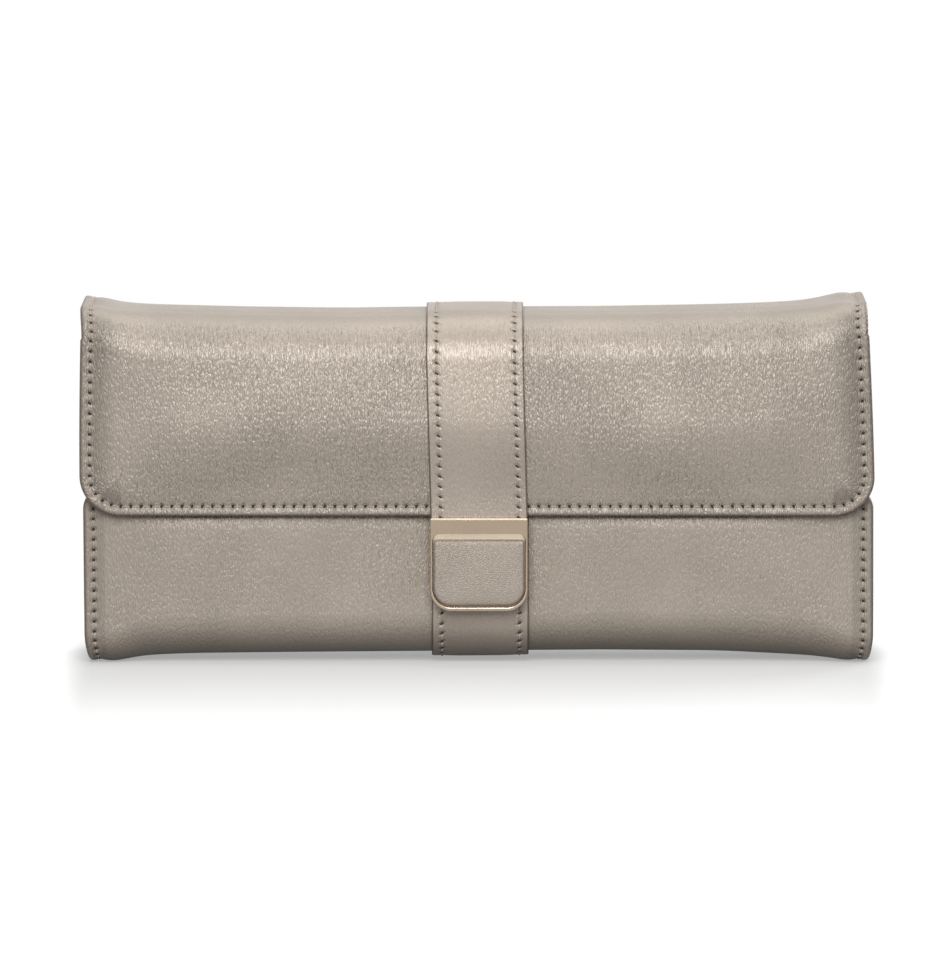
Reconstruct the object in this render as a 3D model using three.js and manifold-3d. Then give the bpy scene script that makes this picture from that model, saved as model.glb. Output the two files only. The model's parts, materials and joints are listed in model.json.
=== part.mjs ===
// Jewelry roll: a padded leather roll with a full-width flap, a strap and a clasp.
// Millimetres, +Z up, front towards -Y. It stands on the sewn corners of its bottom panel.

import * as THREE from 'three';
import { mergeVertices } from 'three/addons/utils/BufferGeometryUtils.js';
import Module from 'manifold-3d';

const wasm = await Module();
wasm.setup();

// Overall sizes of the closed roll
const bodyWidth = 233;
const flapOverlap = 1;
const topOverlap = 0.5;
const rollDepth = 47;
const rollHeight = 106.6;
const topSag = 3.9;
const bottomArch = 2.4;
const foldRadius = 13;
const cornerFoldRadius = 10;

// Where the flap and the front panel end, and how the front panel lies behind the flap
const flapEdgeHeight = 44.8;
const flapCornerRadius = 12;
const frontEdgeHeight = 52.5;
const frontCornerRadius = 6;
const flapClearance = 0.6;

// Layers of each panel
const leather = 1.1;
const turnedEdge = 1.7;
const boardThickness = 1.6;
const liningThickness = 0.8;
const clearance = 0.3;
const overrun = 1;

// Fold axes lie this far inside the outer faces, just outside the leather of the fold
const foldAxisInset = 2.3;
const foldAxisDrop = 3.2;
const foldReach = 14;

// Strap round the middle
const strapWidth = 28.6;
const strapThickness = 1.2;
const strapShift = 0.4;
const strapJointGap = 0.8;

// Clasp on the end of the strap
const claspHeight = 27.3;
const claspDepth = 3.3;
const claspPlateHeight = 4.4;
const claspPlateStep = 0.3;
const claspLipHeight = 1.8;
const claspLipRadius = 1.4;
const claspSideBar = 0.55;
const claspBottomBar = 1.2;
const claspCornerRadius = 6.5;
const claspTopRadius = 0.8;
const claspFrontWall = 0.9;
const claspRecess = 1.5;
const inlayTopRadius = 1.2;
const inlaySink = 0.2;
const tongueShoulder = 1.8;
const tongueLength = 3.1;
const backplateInset = 1.2;
const backplateThickness = 1.6;
const magnetRadius = 8.2;
const magnetProud = 0.3;
const magnetShare = 0.4;

// Ring bar inside the bottom panel
const barRadius = 8;
const barCoreRadius = 4.6;
const barSewnMargin = 22;
const barSnapMargin = 25;
const barRise = 5;
const barTipRadius = 0.6;
const barNeckRadius = 2;
const barNeckLength = 1.7;
const barConeLength = 2;
const barTabThickness = 1.3;
const barTabWidth = 14;
const barTabFoot = 8;
const barTabShare = 0.55;
const snapTabReach = 19;

// Press studs
const studBaseRadius = 4;
const studBaseHeight = 1;
const studPostRadius = 1.5;
const studPostHeight = 1.5;
const socketRadius = 3.6;
const socketHeight = 1.4;
const socketClearance = 0.4;
const shankRadius = 1.6;
const capRadius = 4.6;
const capHeight = 1.2;
const snapTabLeather = 1.2;

// Necklace tabs inside the back panel
const necklaceTabWidth = 14;
const necklaceTabLength = 24;
const necklaceTabPitch = 46;
const necklaceTabCount = 4;
const necklaceHingeDrop = 1.4;
const necklaceSnapInset = 6;
const necklaceRootLength = 2;
const necklaceSlopeLength = 5;

// Zip pockets
const pocketDepth = 3.9;
const pocketSheet = 1;
const pocketWall = 1.2;
const pocketCornerRadius = 3;
const pocketSideMargin = 7;
const pocketMiddleGap = 5;
const pocketEndMargin = 1;
const necklacePocketGap = 1.9;
const zipInset = 9;
const windowMargin = 6;
const windowWidth = 5.6;
const tapeWidth = 11;
const tapeThickness = 0.6;
const chainWidth = 2.4;
const chainThickness = 1.2;
const chainEndGap = 0.5;
const sliderLength = 9;
const sliderCover = 1.3;
const sliderFlange = 0.9;
const sliderEndGap = 1.5;
const lugLength = 0.8;
const pinRadius = 0.5;
const pullerEyeRadius = 1.45;
const pullerEyeLength = 3.4;
const pullerWidth = 5;
const pullerLength = 15;
const pullerThickness = 0.8;
const pullerNeck = 2.2;

// Outer faces of the panels
const backFace = rollDepth / 2;
const flapFace = -rollDepth / 2;
const liningDepth = leather + boardThickness + 2 * clearance;
const panelDepth = liningDepth + liningThickness;
const frontFace = flapFace + panelDepth + flapClearance;
const bodyHalf = bodyWidth / 2;
const flapHalf = bodyHalf + flapOverlap;
const topHalf = bodyHalf + topOverlap;
const boardDepth = leather + clearance;

// Along the length the panels are straight in the middle and rise to full height at the sewn sides
const earShares = [
  { reach: 0.4, rise: 0 },
  { reach: 0.7, rise: 0.14 },
  { reach: 0.84, rise: 0.42 },
  { reach: 0.9, rise: 0.72 },
  { reach: 0.94, rise: 1 },
  { reach: 1, rise: 1 },
];

// Points of half a fold, as shares of its quarter turn, a little past the middle of the fold
const foldArcShares = [0, 0.34, 0.68];

const quarterTurn = Math.PI / 2;

function earRise(x) {
  const reach = Math.min(Math.abs(x) / bodyHalf, 1);
  if (reach <= earShares[0].reach) return earShares[0].rise;
  const next = earShares.findIndex((share) => reach <= share.reach);
  const from = earShares[next - 1];
  const to = earShares[next];
  return from.rise + (to.rise - from.rise) * (reach - from.reach) / (to.reach - from.reach);
}

const topAt = (x) => rollHeight - topSag * (1 - earRise(x));
const bottomAt = (x) => bottomArch * (1 - earRise(x));
const radiusAt = (x) => foldRadius + (cornerFoldRadius - foldRadius) * earRise(x);

// Sections of the roll across its length, from one side to the other
function stations(half) {
  const right = earShares.map((share) => share.reach * bodyHalf).filter((x) => x < half);
  const left = right.map((x) => -x).reverse();
  return [-half, ...left, ...right, half];
}

// Fold axes, as points in the plane of depth and height
const axes = {
  topBack: { y: backFace - foldAxisInset, z: rollHeight - foldAxisDrop, outY: 1, outZ: 1 },
  topFront: { y: flapFace + foldAxisInset, z: rollHeight - foldAxisDrop, outY: -1, outZ: 1 },
  bottomBack: { y: backFace - foldAxisInset, z: foldAxisDrop, outY: 1, outZ: -1 },
  bottomFront: { y: frontFace + foldAxisInset, z: foldAxisDrop, outY: -1, outZ: -1 },
};

// Points round half of a fold, from one quarter direction towards the next
function foldPoints(x, depth, faceY, outZ, fromTurn, sense) {
  const radius = radiusAt(x);
  const centreY = faceY - Math.sign(faceY) * radius;
  const centreZ = outZ > 0 ? topAt(x) - radius : bottomAt(x) + radius;
  return foldArcShares.map((share) => {
    const turn = quarterTurn * (fromTurn + sense * share);
    return [
      centreY + (radius - depth) * Math.cos(turn),
      centreZ + (radius - depth) * Math.sin(turn),
    ];
  });
}

// Each panel's path runs flap, top, back, bottom, front, so that its outer face is on the left
const paths = {
  flap: (x, depth, end) => [
    [flapFace + depth, end],
    ...foldPoints(x, depth, flapFace, 1, 2, -1),
  ],
  top: (x, depth) => [
    ...foldPoints(x, depth, flapFace, 1, 1, 1).reverse(),
    ...foldPoints(x, depth, backFace, 1, 1, -1),
  ],
  back: (x, depth) => [
    ...foldPoints(x, depth, backFace, 1, 0, 1).reverse(),
    ...foldPoints(x, depth, backFace, -1, 0, -1),
  ],
  bottom: (x, depth) => [
    ...foldPoints(x, depth, backFace, -1, -1, 1).reverse(),
    ...foldPoints(x, depth, frontFace, -1, -1, -1),
  ],
  front: (x, depth, end) => [
    ...foldPoints(x, depth, frontFace, -1, -2, 1).reverse(),
    [frontFace + depth, end],
  ],
};

const halves = { flap: flapHalf, top: topHalf, back: bodyHalf, bottom: bodyHalf, front: bodyHalf };
const freeEnds = { flap: flapEdgeHeight, front: frontEdgeHeight };
const freeEndInwards = { flap: 1, front: -1 };
const freeCornerRadii = { flap: flapCornerRadius, front: frontCornerRadius };

function toSolid(geometry) {
  const bare = geometry.clone();
  bare.deleteAttribute('normal');
  bare.deleteAttribute('uv');
  const merged = mergeVertices(bare);
  return new wasm.Manifold(new wasm.Mesh({
    numProp: 3,
    vertProperties: Float32Array.from(merged.attributes.position.array),
    triVerts: Uint32Array.from(merged.index.array),
  }));
}

function toGeometry(solid) {
  const mesh = solid.getMesh();
  const geometry = new THREE.BufferGeometry();
  geometry.setAttribute('position', new THREE.BufferAttribute(mesh.vertProperties, mesh.numProp));
  geometry.setIndex(new THREE.BufferAttribute(mesh.triVerts, 1));
  return geometry;
}

// A solid lofted across the stations between two lists of points, outer and inner
function loft(xs, outerAt, innerAt) {
  const positions = [];
  const rows = xs.map((x) => {
    const add = ([y, z]) => positions.push(x, y, z) / 3 - 1;
    return { outer: outerAt(x).map(add), inner: innerAt(x).map(add) };
  });
  const index = [];
  const quad = (a, b, c, d) => index.push(a, b, c, a, c, d);
  const last = rows[0].outer.length - 1;
  rows.slice(1).forEach((next, j) => {
    const row = rows[j];
    for (let i = 0; i < last; i += 1) {
      quad(row.outer[i], next.outer[i], next.outer[i + 1], row.outer[i + 1]);
      quad(row.inner[i], row.inner[i + 1], next.inner[i + 1], next.inner[i]);
    }
    quad(row.inner[0], next.inner[0], next.outer[0], row.outer[0]);
    quad(row.outer[last], next.outer[last], next.inner[last], row.inner[last]);
  });
  const first = rows[0];
  const final = rows[rows.length - 1];
  for (let i = 0; i < last; i += 1) {
    quad(first.outer[i], first.outer[i + 1], first.inner[i + 1], first.inner[i]);
    quad(final.outer[i], final.inner[i], final.inner[i + 1], final.outer[i + 1]);
  }
  const geometry = new THREE.BufferGeometry();
  geometry.setAttribute('position', new THREE.Float32BufferAttribute(positions, 3));
  geometry.setIndex(index);
  return geometry;
}

function polygon(points) {
  return new THREE.Shape(points.map(([a, b]) => new THREE.Vector2(a, b)));
}

// An outline of width along X and height along Z with rounded lower and upper corners
function roundedOutline(x0, x1, z0, z1, lowerRadius, upperRadius = lowerRadius) {
  const shape = new THREE.Shape();
  const [low, high] = [lowerRadius, upperRadius];
  shape.moveTo(x0 + low, z0);
  shape.lineTo(x1 - low, z0);
  shape.absarc(x1 - low, z0 + low, low, -quarterTurn, 0, false);
  shape.lineTo(x1, z1 - high);
  shape.absarc(x1 - high, z1 - high, high, 0, quarterTurn, false);
  shape.lineTo(x0 + high, z1);
  shape.absarc(x0 + high, z1 - high, high, quarterTurn, 2 * quarterTurn, false);
  shape.lineTo(x0, z0 + low);
  shape.absarc(x0 + low, z0 + low, low, 2 * quarterTurn, 3 * quarterTurn, false);
  return shape;
}

function extruded(shape, depth, curveSegments) {
  return new THREE.ExtrudeGeometry(shape, { depth, bevelEnabled: false, curveSegments });
}

// A prism along X from an outline in depth and height
function prismX(shape, x0, x1, curveSegments = 4) {
  const geometry = extruded(shape, x1 - x0, curveSegments);
  const axesX = new THREE.Matrix4().makeBasis(
    new THREE.Vector3(0, 1, 0),
    new THREE.Vector3(0, 0, 1),
    new THREE.Vector3(1, 0, 0),
  );
  return geometry.applyMatrix4(axesX).translate(x0, 0, 0);
}

// A prism along Y from an outline in width and height
function prismY(shape, y0, y1, curveSegments = 4) {
  const [near, far] = [Math.min(y0, y1), Math.max(y0, y1)];
  return extruded(shape, far - near, curveSegments).rotateX(quarterTurn).translate(0, far, 0);
}

function box(x0, x1, y0, y1, z0, z1) {
  const size = [x1 - x0, Math.abs(y1 - y0), z1 - z0];
  const middle = [(x0 + x1) / 2, (y0 + y1) / 2, (z0 + z1) / 2];
  return new THREE.BoxGeometry(...size).translate(...middle);
}

// A disc, ring or stepped turning on an axis along Y or Z, from points of radius and distance
function turned(points, direction, place, segments = 16) {
  const outline = points.map(([radius, along]) => new THREE.Vector2(radius, along));
  const geometry = new THREE.LatheGeometry(outline, segments);
  const turn = new THREE.Quaternion().setFromUnitVectors(new THREE.Vector3(0, 1, 0), direction);
  return geometry.applyQuaternion(turn).translate(...place);
}

function disc(radius, height, direction, place, segments) {
  const outline = [[0, 0], [radius, 0], [radius, height], [0, height]];
  return turned(outline, direction, place, segments);
}

// The part of the roll that belongs to one panel, cut at the folds next to it
function foldLine(axis, gap, sideY, sideZ) {
  const shift = gap / 2 / Math.SQRT2;
  const reach = foldReach;
  const at = (along) => [
    axis.y + along * axis.outY + shift * sideY,
    axis.z + along * axis.outZ + shift * sideZ,
  ];
  return { outer: at(reach), inner: at(-reach) };
}

function panelRegion(panel, gap) {
  const { topBack, topFront, bottomBack, bottomFront } = axes;
  const between = (first, second) => [first.outer, second.outer, second.inner, first.inner];
  const openEnded = (line, z) => [line.outer, line.inner, [line.inner[0], z], [line.outer[0], z]];
  const regions = {
    top: () => between(foldLine(topFront, gap, 1, 1), foldLine(topBack, gap, -1, 1)),
    back: () => between(foldLine(topBack, gap, 1, -1), foldLine(bottomBack, gap, 1, 1)),
    bottom: () => between(foldLine(bottomBack, gap, -1, -1), foldLine(bottomFront, gap, 1, -1)),
    flap: () => openEnded(foldLine(topFront, gap, -1, -1), flapEdgeHeight - foldReach),
    front: () => openEnded(foldLine(bottomFront, gap, -1, 1), frontEdgeHeight + foldReach),
  };
  const half = halves[panel] + overrun;
  return toSolid(prismX(polygon(regions[panel]()), -half, half));
}

// The outline of a panel's free end with its rounded corners, drawn in from the edge by an inset
function freeEndRegion(panel, inset) {
  const half = halves[panel] - inset;
  const radius = freeCornerRadii[panel] - inset;
  const end = freeEnds[panel] + freeEndInwards[panel] * inset;
  const far = panel === 'flap' ? rollHeight + overrun : -overrun;
  const shape = panel === 'flap'
    ? roundedOutline(-half, half, end, far, radius, 0)
    : roundedOutline(-half, half, far, end, 0, radius);
  return toSolid(prismY(shape, flapFace - foldReach, backFace));
}

// A layer of a panel between two depths, drawn in from the sides and the free end by an inset
function panelLayer(panel, fromDepth, toDepth, inset) {
  const end = freeEnds[panel] + (freeEndInwards[panel] ?? 0) * inset;
  const layer = toSolid(loft(
    stations(halves[panel] - inset),
    (x) => paths[panel](x, fromDepth, end),
    (x) => paths[panel](x, toDepth, end),
  ));
  return panel in freeEnds ? layer.intersect(freeEndRegion(panel, inset)) : layer;
}

function coverGeometry(panel) {
  const shell = panelLayer(panel, 0, panelDepth, 0);
  const hollow = panelLayer(panel, leather, panelDepth + overrun, turnedEdge);
  return toGeometry(shell.subtract(hollow).intersect(panelRegion(panel, clearance)));
}

function liningGeometry(panel) {
  const layer = panelLayer(panel, liningDepth, panelDepth, turnedEdge + clearance);
  return toGeometry(layer.intersect(panelRegion(panel, clearance)));
}

// A stiff board in the flat of an upright panel
function boardGeometry(panel, face, inwards, from, to) {
  const half = halves[panel] - turnedEdge - 2 * clearance;
  const radius = (freeCornerRadii[panel] ?? turnedEdge + 3 * clearance) - turnedEdge - 2 * clearance;
  const lower = panel === 'flap' ? radius : clearance;
  const upper = panel === 'front' ? radius : clearance;
  const outline = roundedOutline(-half, half, from, to, lower, upper);
  const outer = face + inwards * boardDepth;
  return prismY(outline, outer, outer + inwards * boardThickness);
}

// The soft filling of a narrow panel, which follows the rise of the sewn sides
function paddingGeometry(panel, frontY, heightAt, up) {
  const half = halves[panel] - turnedEdge - 2 * clearance;
  const backY = backFace - foldRadius;
  const rowAt = (depth) => (x) => {
    const z = heightAt(x) - up * depth;
    return up > 0 ? [[frontY, z], [backY, z]] : [[backY, z], [frontY, z]];
  };
  return loft(stations(half), rowAt(boardDepth), rowAt(boardDepth + boardThickness));
}

const strapLeft = strapShift - strapWidth / 2;
const strapRight = strapShift + strapWidth / 2;
const strapOuter = -(clearance + strapThickness);
const tongueWidth = strapWidth - 2 * tongueShoulder;
const claspTop = flapEdgeHeight - clearance;
const claspBottom = claspTop - claspHeight;
const magnetHeight = claspBottom + claspHeight * magnetShare;

function strapLayer(panel, end) {
  const layer = toSolid(loft(
    [strapLeft, strapRight],
    (x) => paths[panel](x, strapOuter, end),
    (x) => paths[panel](x, -clearance, end),
  ));
  return layer.intersect(panelRegion(panel, strapJointGap));
}

// The flap's length of strap ends in a narrower tongue, which sits inside the clasp
function strapFlapGeometry() {
  const half = tongueWidth / 2;
  const tongue = toSolid(box(
    strapShift - half,
    strapShift + half,
    flapFace + strapOuter,
    flapFace - clearance,
    claspTop - tongueLength,
    flapEdgeHeight + overrun,
  ));
  return toGeometry(strapLayer('flap', flapEdgeHeight).add(tongue));
}

// The front's length of strap has a round hole for the metal that the clasp's magnet holds to
function strapFrontGeometry() {
  const frontwards = new THREE.Vector3(0, -1, 0);
  const place = [strapShift, frontFace + overrun, magnetHeight];
  const depth = strapThickness + clearance + 2 * overrun;
  const hole = toSolid(disc(magnetRadius + clearance, depth, frontwards, place, 24));
  return toGeometry(strapLayer('front', flapEdgeHeight - 2 * clearance).subtract(hole));
}

// The clasp's faces, from its front to its back
const tongueFront = flapFace + strapOuter;
const claspFront = tongueFront - clearance - claspFrontWall;
const claspBack = claspFront + claspDepth;

// A frame with a recess for the inlay, a plate above it and a slot for the tongue
function claspFrameGeometry() {
  const plateFront = claspFront + claspPlateStep;
  const plateFoot = claspTop - claspPlateHeight;
  const recessTop = plateFoot - claspLipHeight;
  const body = toSolid(prismY(
    roundedOutline(strapLeft, strapRight, claspBottom, claspTop, claspCornerRadius, claspTopRadius),
    plateFront,
    claspBack,
    6,
  ));
  const rim = toSolid(prismY(
    roundedOutline(
      strapLeft + claspPlateStep / 2,
      strapRight - claspPlateStep / 2,
      claspBottom + claspPlateStep / 2,
      plateFoot,
      claspCornerRadius,
      claspLipRadius,
    ),
    claspFront,
    claspBack - clearance,
    6,
  ));
  const recess = toSolid(prismY(
    inlayOutline(0),
    claspFront - overrun,
    claspFront + claspRecess,
    6,
  ));
  const half = tongueWidth / 2 + clearance;
  const slot = toSolid(box(
    strapShift - half,
    strapShift + half,
    tongueFront - clearance,
    flapFace,
    claspTop - tongueLength - clearance,
    claspTop + overrun,
  ));
  return toGeometry(body.add(rim).subtract(recess).subtract(slot));
}

// The recess in the frame, and the inlay that fills it less its gap
function inlayOutline(gap) {
  const corner = claspCornerRadius - claspBottomBar;
  return roundedOutline(
    strapLeft + claspSideBar + gap,
    strapRight - claspSideBar - gap,
    claspBottom + claspBottomBar + gap,
    claspTop - claspPlateHeight - claspLipHeight - gap,
    corner - gap,
    inlayTopRadius,
  );
}

function claspInlayGeometry() {
  const back = claspFront + claspRecess - clearance;
  return prismY(inlayOutline(clearance), claspFront + inlaySink, back, 6);
}

const backplateFront = claspBack + clearance;
const backplateBack = backplateFront + backplateThickness;

function claspBackplateGeometry() {
  const plate = toSolid(prismY(
    roundedOutline(
      strapLeft + backplateInset,
      strapRight - backplateInset,
      claspBottom + backplateInset,
      claspTop - backplateInset,
      claspCornerRadius - backplateInset,
      claspTopRadius,
    ),
    backplateFront,
    backplateBack,
    6,
  ));
  const backwards = new THREE.Vector3(0, 1, 0);
  const place = [strapShift, backplateFront - overrun, magnetHeight];
  const depth = backplateThickness + 2 * overrun;
  const hole = toSolid(disc(magnetRadius + clearance, depth, backwards, place, 24));
  return toGeometry(plate.subtract(hole));
}

function magnetGeometry() {
  const backwards = new THREE.Vector3(0, 1, 0);
  const place = [strapShift, backplateFront, magnetHeight];
  return disc(magnetRadius, backplateThickness + magnetProud, backwards, place, 24);
}

function keeperGeometry() {
  const frontwards = new THREE.Vector3(0, -1, 0);
  const place = [strapShift, frontFace - clearance, magnetHeight];
  return disc(magnetRadius, strapThickness - magnetProud, frontwards, place, 24);
}

// Inner faces of the panels' linings
const backLiningFace = backFace - panelDepth;
const frontLiningFace = frontFace + panelDepth;
const bottomLiningAt = (x) => bottomAt(x) + panelDepth;

// The ring bar lies along the roll over the bottom panel
const barY = (backLiningFace + frontLiningFace) / 2;
const barZ = bottomArch + panelDepth + barRise + barRadius;
const barLeftEnd = barSewnMargin - bodyHalf;
const barRightEnd = bodyHalf - barSnapMargin;
const alongX = new THREE.Vector3(1, 0, 0);
const upwards = new THREE.Vector3(0, 0, 1);
const sleeveLeft = barLeftEnd + barNeckLength + barConeLength;
const sleeveRight = barRightEnd - clearance;

function barCoreGeometry() {
  const length = barRightEnd - barLeftEnd;
  const outline = [
    [0, 0],
    [barTipRadius, 0],
    [barNeckRadius, barNeckLength],
    [barCoreRadius, barNeckLength + barConeLength],
    [barCoreRadius, length],
    [0, length],
  ];
  return turned(outline, alongX, [barLeftEnd, barY, barZ]);
}

function barSleeveGeometry() {
  const length = sleeveRight - sleeveLeft;
  const bore = barCoreRadius + clearance;
  const outline = [[bore, 0], [barRadius, 0], [barRadius, length], [bore, length], [bore, 0]];
  return turned(outline, alongX, [sleeveLeft, barY, barZ]);
}

// The sewn end: a tab that stands on the lining and holds the neck of the bar
function barHingeTabGeometry() {
  const right = barLeftEnd - clearance;
  const left = right - barTabThickness;
  const foot = bottomLiningAt(left) + clearance;
  const half = barTabWidth / 2;
  const top = barZ + barCoreRadius;
  const upright = toSolid(box(left, right, barY - half, barY + half, foot, top));
  const base = toSolid(box(
    left - barTabFoot,
    left + barTabThickness / 2,
    barY - half,
    barY + half,
    foot,
    foot + barTabThickness,
  ));
  return toGeometry(upright.add(base));
}

// The snap end: heights of the stud, the socket, the tab and the cap above the lining
const barSnapX = barRightEnd + clearance + snapTabReach * barTabShare;
const barStudFoot = bottomLiningAt(barSnapX - studBaseRadius) + clearance;
const snapStack = {
  socket: studBaseHeight + clearance,
  tab: studBaseHeight + socketHeight + 2 * clearance,
  cap: studBaseHeight + socketHeight + snapTabLeather + 3 * clearance,
};

function studGeometry(direction, place) {
  const outline = [
    [0, 0],
    [studBaseRadius, 0],
    [studBaseRadius, studBaseHeight],
    [studPostRadius, studBaseHeight],
    [studPostRadius, studBaseHeight + studPostHeight - clearance],
    [0, studBaseHeight + studPostHeight - clearance],
  ];
  return turned(outline, direction, place, 10);
}

// A socket below the tab, a shank through it and a cap on top, in one turning
function snapCapGeometry(direction, place) {
  const bore = studPostRadius + socketClearance;
  const roof = studBaseHeight + studPostHeight;
  const outline = [
    [0, roof],
    [bore, roof],
    [bore, snapStack.socket],
    [socketRadius, snapStack.socket],
    [socketRadius, snapStack.tab - clearance],
    [shankRadius, snapStack.tab - clearance],
    [shankRadius, snapStack.cap],
    [capRadius, snapStack.cap],
    [capRadius, snapStack.cap + capHeight / 2],
    [capRadius - capHeight / 2, snapStack.cap + capHeight],
    [0, snapStack.cap + capHeight],
  ];
  return turned(outline, direction, place, 10);
}

function shankHole(direction, place) {
  const from = new THREE.Vector3(...place).addScaledVector(direction, snapStack.tab - overrun);
  const length = snapTabLeather + 2 * overrun;
  return toSolid(disc(shankRadius + clearance, length, direction, from.toArray(), 10));
}

const barSnapPlace = [barSnapX, barY, barStudFoot];

function barSnapTabGeometry() {
  const left = barRightEnd + clearance;
  const foot = barStudFoot + snapStack.tab;
  const half = barTabWidth / 2;
  const upright = toSolid(box(
    left,
    left + snapTabLeather,
    barY - half,
    barY + half,
    foot,
    barZ + barCoreRadius,
  ));
  const reach = toSolid(box(
    left,
    left + snapTabReach,
    barY - half,
    barY + half,
    foot,
    foot + snapTabLeather,
  ));
  return toGeometry(upright.add(reach).subtract(shankHole(upwards, barSnapPlace)));
}

// Necklace tabs hang from the top of the back panel and snap to it at their lower ends
const necklaceHingeZ = rollHeight - topSag - foldRadius - necklaceHingeDrop;
const necklaceHingeY = backLiningFace - clearance;
const necklaceSnapZ = necklaceHingeZ - necklaceTabLength + necklaceSnapInset;
const forwards = new THREE.Vector3(0, -1, 0);
const necklaceTabX = (number) => (number - (necklaceTabCount - 1) / 2) * necklaceTabPitch;
const necklaceSnapPlace = (number) => [necklaceTabX(number), necklaceHingeY, necklaceSnapZ];

function necklaceTabGeometry(number) {
  const root = necklaceHingeY;
  const held = necklaceHingeY - snapStack.tab;
  const bend = necklaceHingeZ - necklaceRootLength;
  const straight = bend - necklaceSlopeLength;
  const end = necklaceHingeZ - necklaceTabLength;
  const profile = polygon([
    [root, necklaceHingeZ],
    [root, bend],
    [held, straight],
    [held, end],
    [held - snapTabLeather, end],
    [held - snapTabLeather, straight + snapTabLeather / 2],
    [root - snapTabLeather, bend + snapTabLeather / 2],
    [root - snapTabLeather, necklaceHingeZ],
  ]);
  const middle = necklaceTabX(number);
  const half = necklaceTabWidth / 2;
  const strip = toSolid(prismX(profile, middle - half, middle + half));
  const outline = roundedOutline(middle - half, middle + half, end, necklaceHingeZ, half, 0);
  const rounded = strip.intersect(toSolid(prismY(outline, held - foldReach, root + overrun)));
  return toGeometry(rounded.subtract(shankHole(forwards, necklaceSnapPlace(number))));
}

// Heights of a zip pocket's layers above the lining
const zipLayers = {
  sheet: clearance + pocketDepth - pocketSheet,
  tape: clearance + pocketDepth - pocketSheet - clearance - tapeThickness,
  chain: clearance + pocketDepth - pocketSheet,
  slider: clearance + pocketDepth - pocketSheet + chainThickness + clearance,
};
const sliderTop = zipLayers.slider + sliderCover;
const pinHeight = sliderTop + clearance + pullerEyeRadius;
const flangeInner = chainWidth / 2 + clearance;
const flangeOuter = flangeInner + sliderFlange;

// Each pocket has a place on a lining: its corners, the lining's face and the way it faces
const frontPocketBottom = bottomArch + foldRadius + pocketEndMargin;
const frontPocketTop = frontEdgeHeight - turnedEdge - pocketEndMargin;
const backPocketBottom = bottomArch + foldRadius + pocketEndMargin;
const pocketPlaces = [
  {
    name: 'front_left',
    x0: -bodyHalf + pocketSideMargin,
    x1: -pocketMiddleGap / 2,
    z0: frontPocketBottom,
    z1: frontPocketTop,
    base: frontLiningFace,
    facing: 1,
  },
  {
    name: 'front_right',
    x0: pocketMiddleGap / 2,
    x1: bodyHalf - pocketSideMargin,
    z0: frontPocketBottom,
    z1: frontPocketTop,
    base: frontLiningFace,
    facing: 1,
  },
  {
    name: 'back',
    x0: -bodyHalf + pocketSideMargin,
    x1: bodyHalf - pocketSideMargin,
    z0: backPocketBottom,
    z1: necklaceHingeZ - necklaceTabLength - necklacePocketGap,
    base: backLiningFace,
    facing: -1,
  },
];

const pocketY = (pocket, height) => pocket.base + pocket.facing * height;
const zipHeight = (pocket) => pocket.z1 - zipInset;
const sliderStart = (pocket) => pocket.x0 + windowMargin + sliderEndGap + sliderLength / 2;

// A box in a pocket's own place, from its heights above the lining
function pocketBox(pocket, x0, x1, h0, h1, z0, z1) {
  return box(x0, x1, pocketY(pocket, h0), pocketY(pocket, h1), z0, z1);
}

function pocketFaceGeometry(pocket) {
  const top = clearance + pocketDepth;
  const face = toSolid(prismY(
    roundedOutline(pocket.x0, pocket.x1, pocket.z0, pocket.z1, pocketCornerRadius),
    pocketY(pocket, clearance),
    pocketY(pocket, top),
  ));
  const hollow = toSolid(prismY(
    roundedOutline(
      pocket.x0 + pocketWall,
      pocket.x1 - pocketWall,
      pocket.z0 + pocketWall,
      pocket.z1 - pocketWall,
      pocketCornerRadius - pocketWall,
    ),
    pocketY(pocket, 0),
    pocketY(pocket, zipLayers.sheet),
  ));
  const window = toSolid(pocketBox(
    pocket,
    pocket.x0 + windowMargin,
    pocket.x1 - windowMargin,
    0,
    top + overrun,
    zipHeight(pocket) - windowWidth / 2,
    zipHeight(pocket) + windowWidth / 2,
  ));
  return toGeometry(face.subtract(hollow).subtract(window));
}

function zipTapeGeometry(pocket) {
  const margin = (windowMargin + pocketWall) / 2;
  return pocketBox(
    pocket,
    pocket.x0 + margin,
    pocket.x1 - margin,
    zipLayers.tape,
    zipLayers.tape + tapeThickness,
    zipHeight(pocket) - tapeWidth / 2,
    zipHeight(pocket) + tapeWidth / 2,
  );
}

function zipChainGeometry(pocket) {
  return pocketBox(
    pocket,
    pocket.x0 + windowMargin + chainEndGap,
    pocket.x1 - windowMargin - chainEndGap,
    zipLayers.chain,
    zipLayers.chain + chainThickness,
    zipHeight(pocket) - chainWidth / 2,
    zipHeight(pocket) + chainWidth / 2,
  );
}

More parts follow.
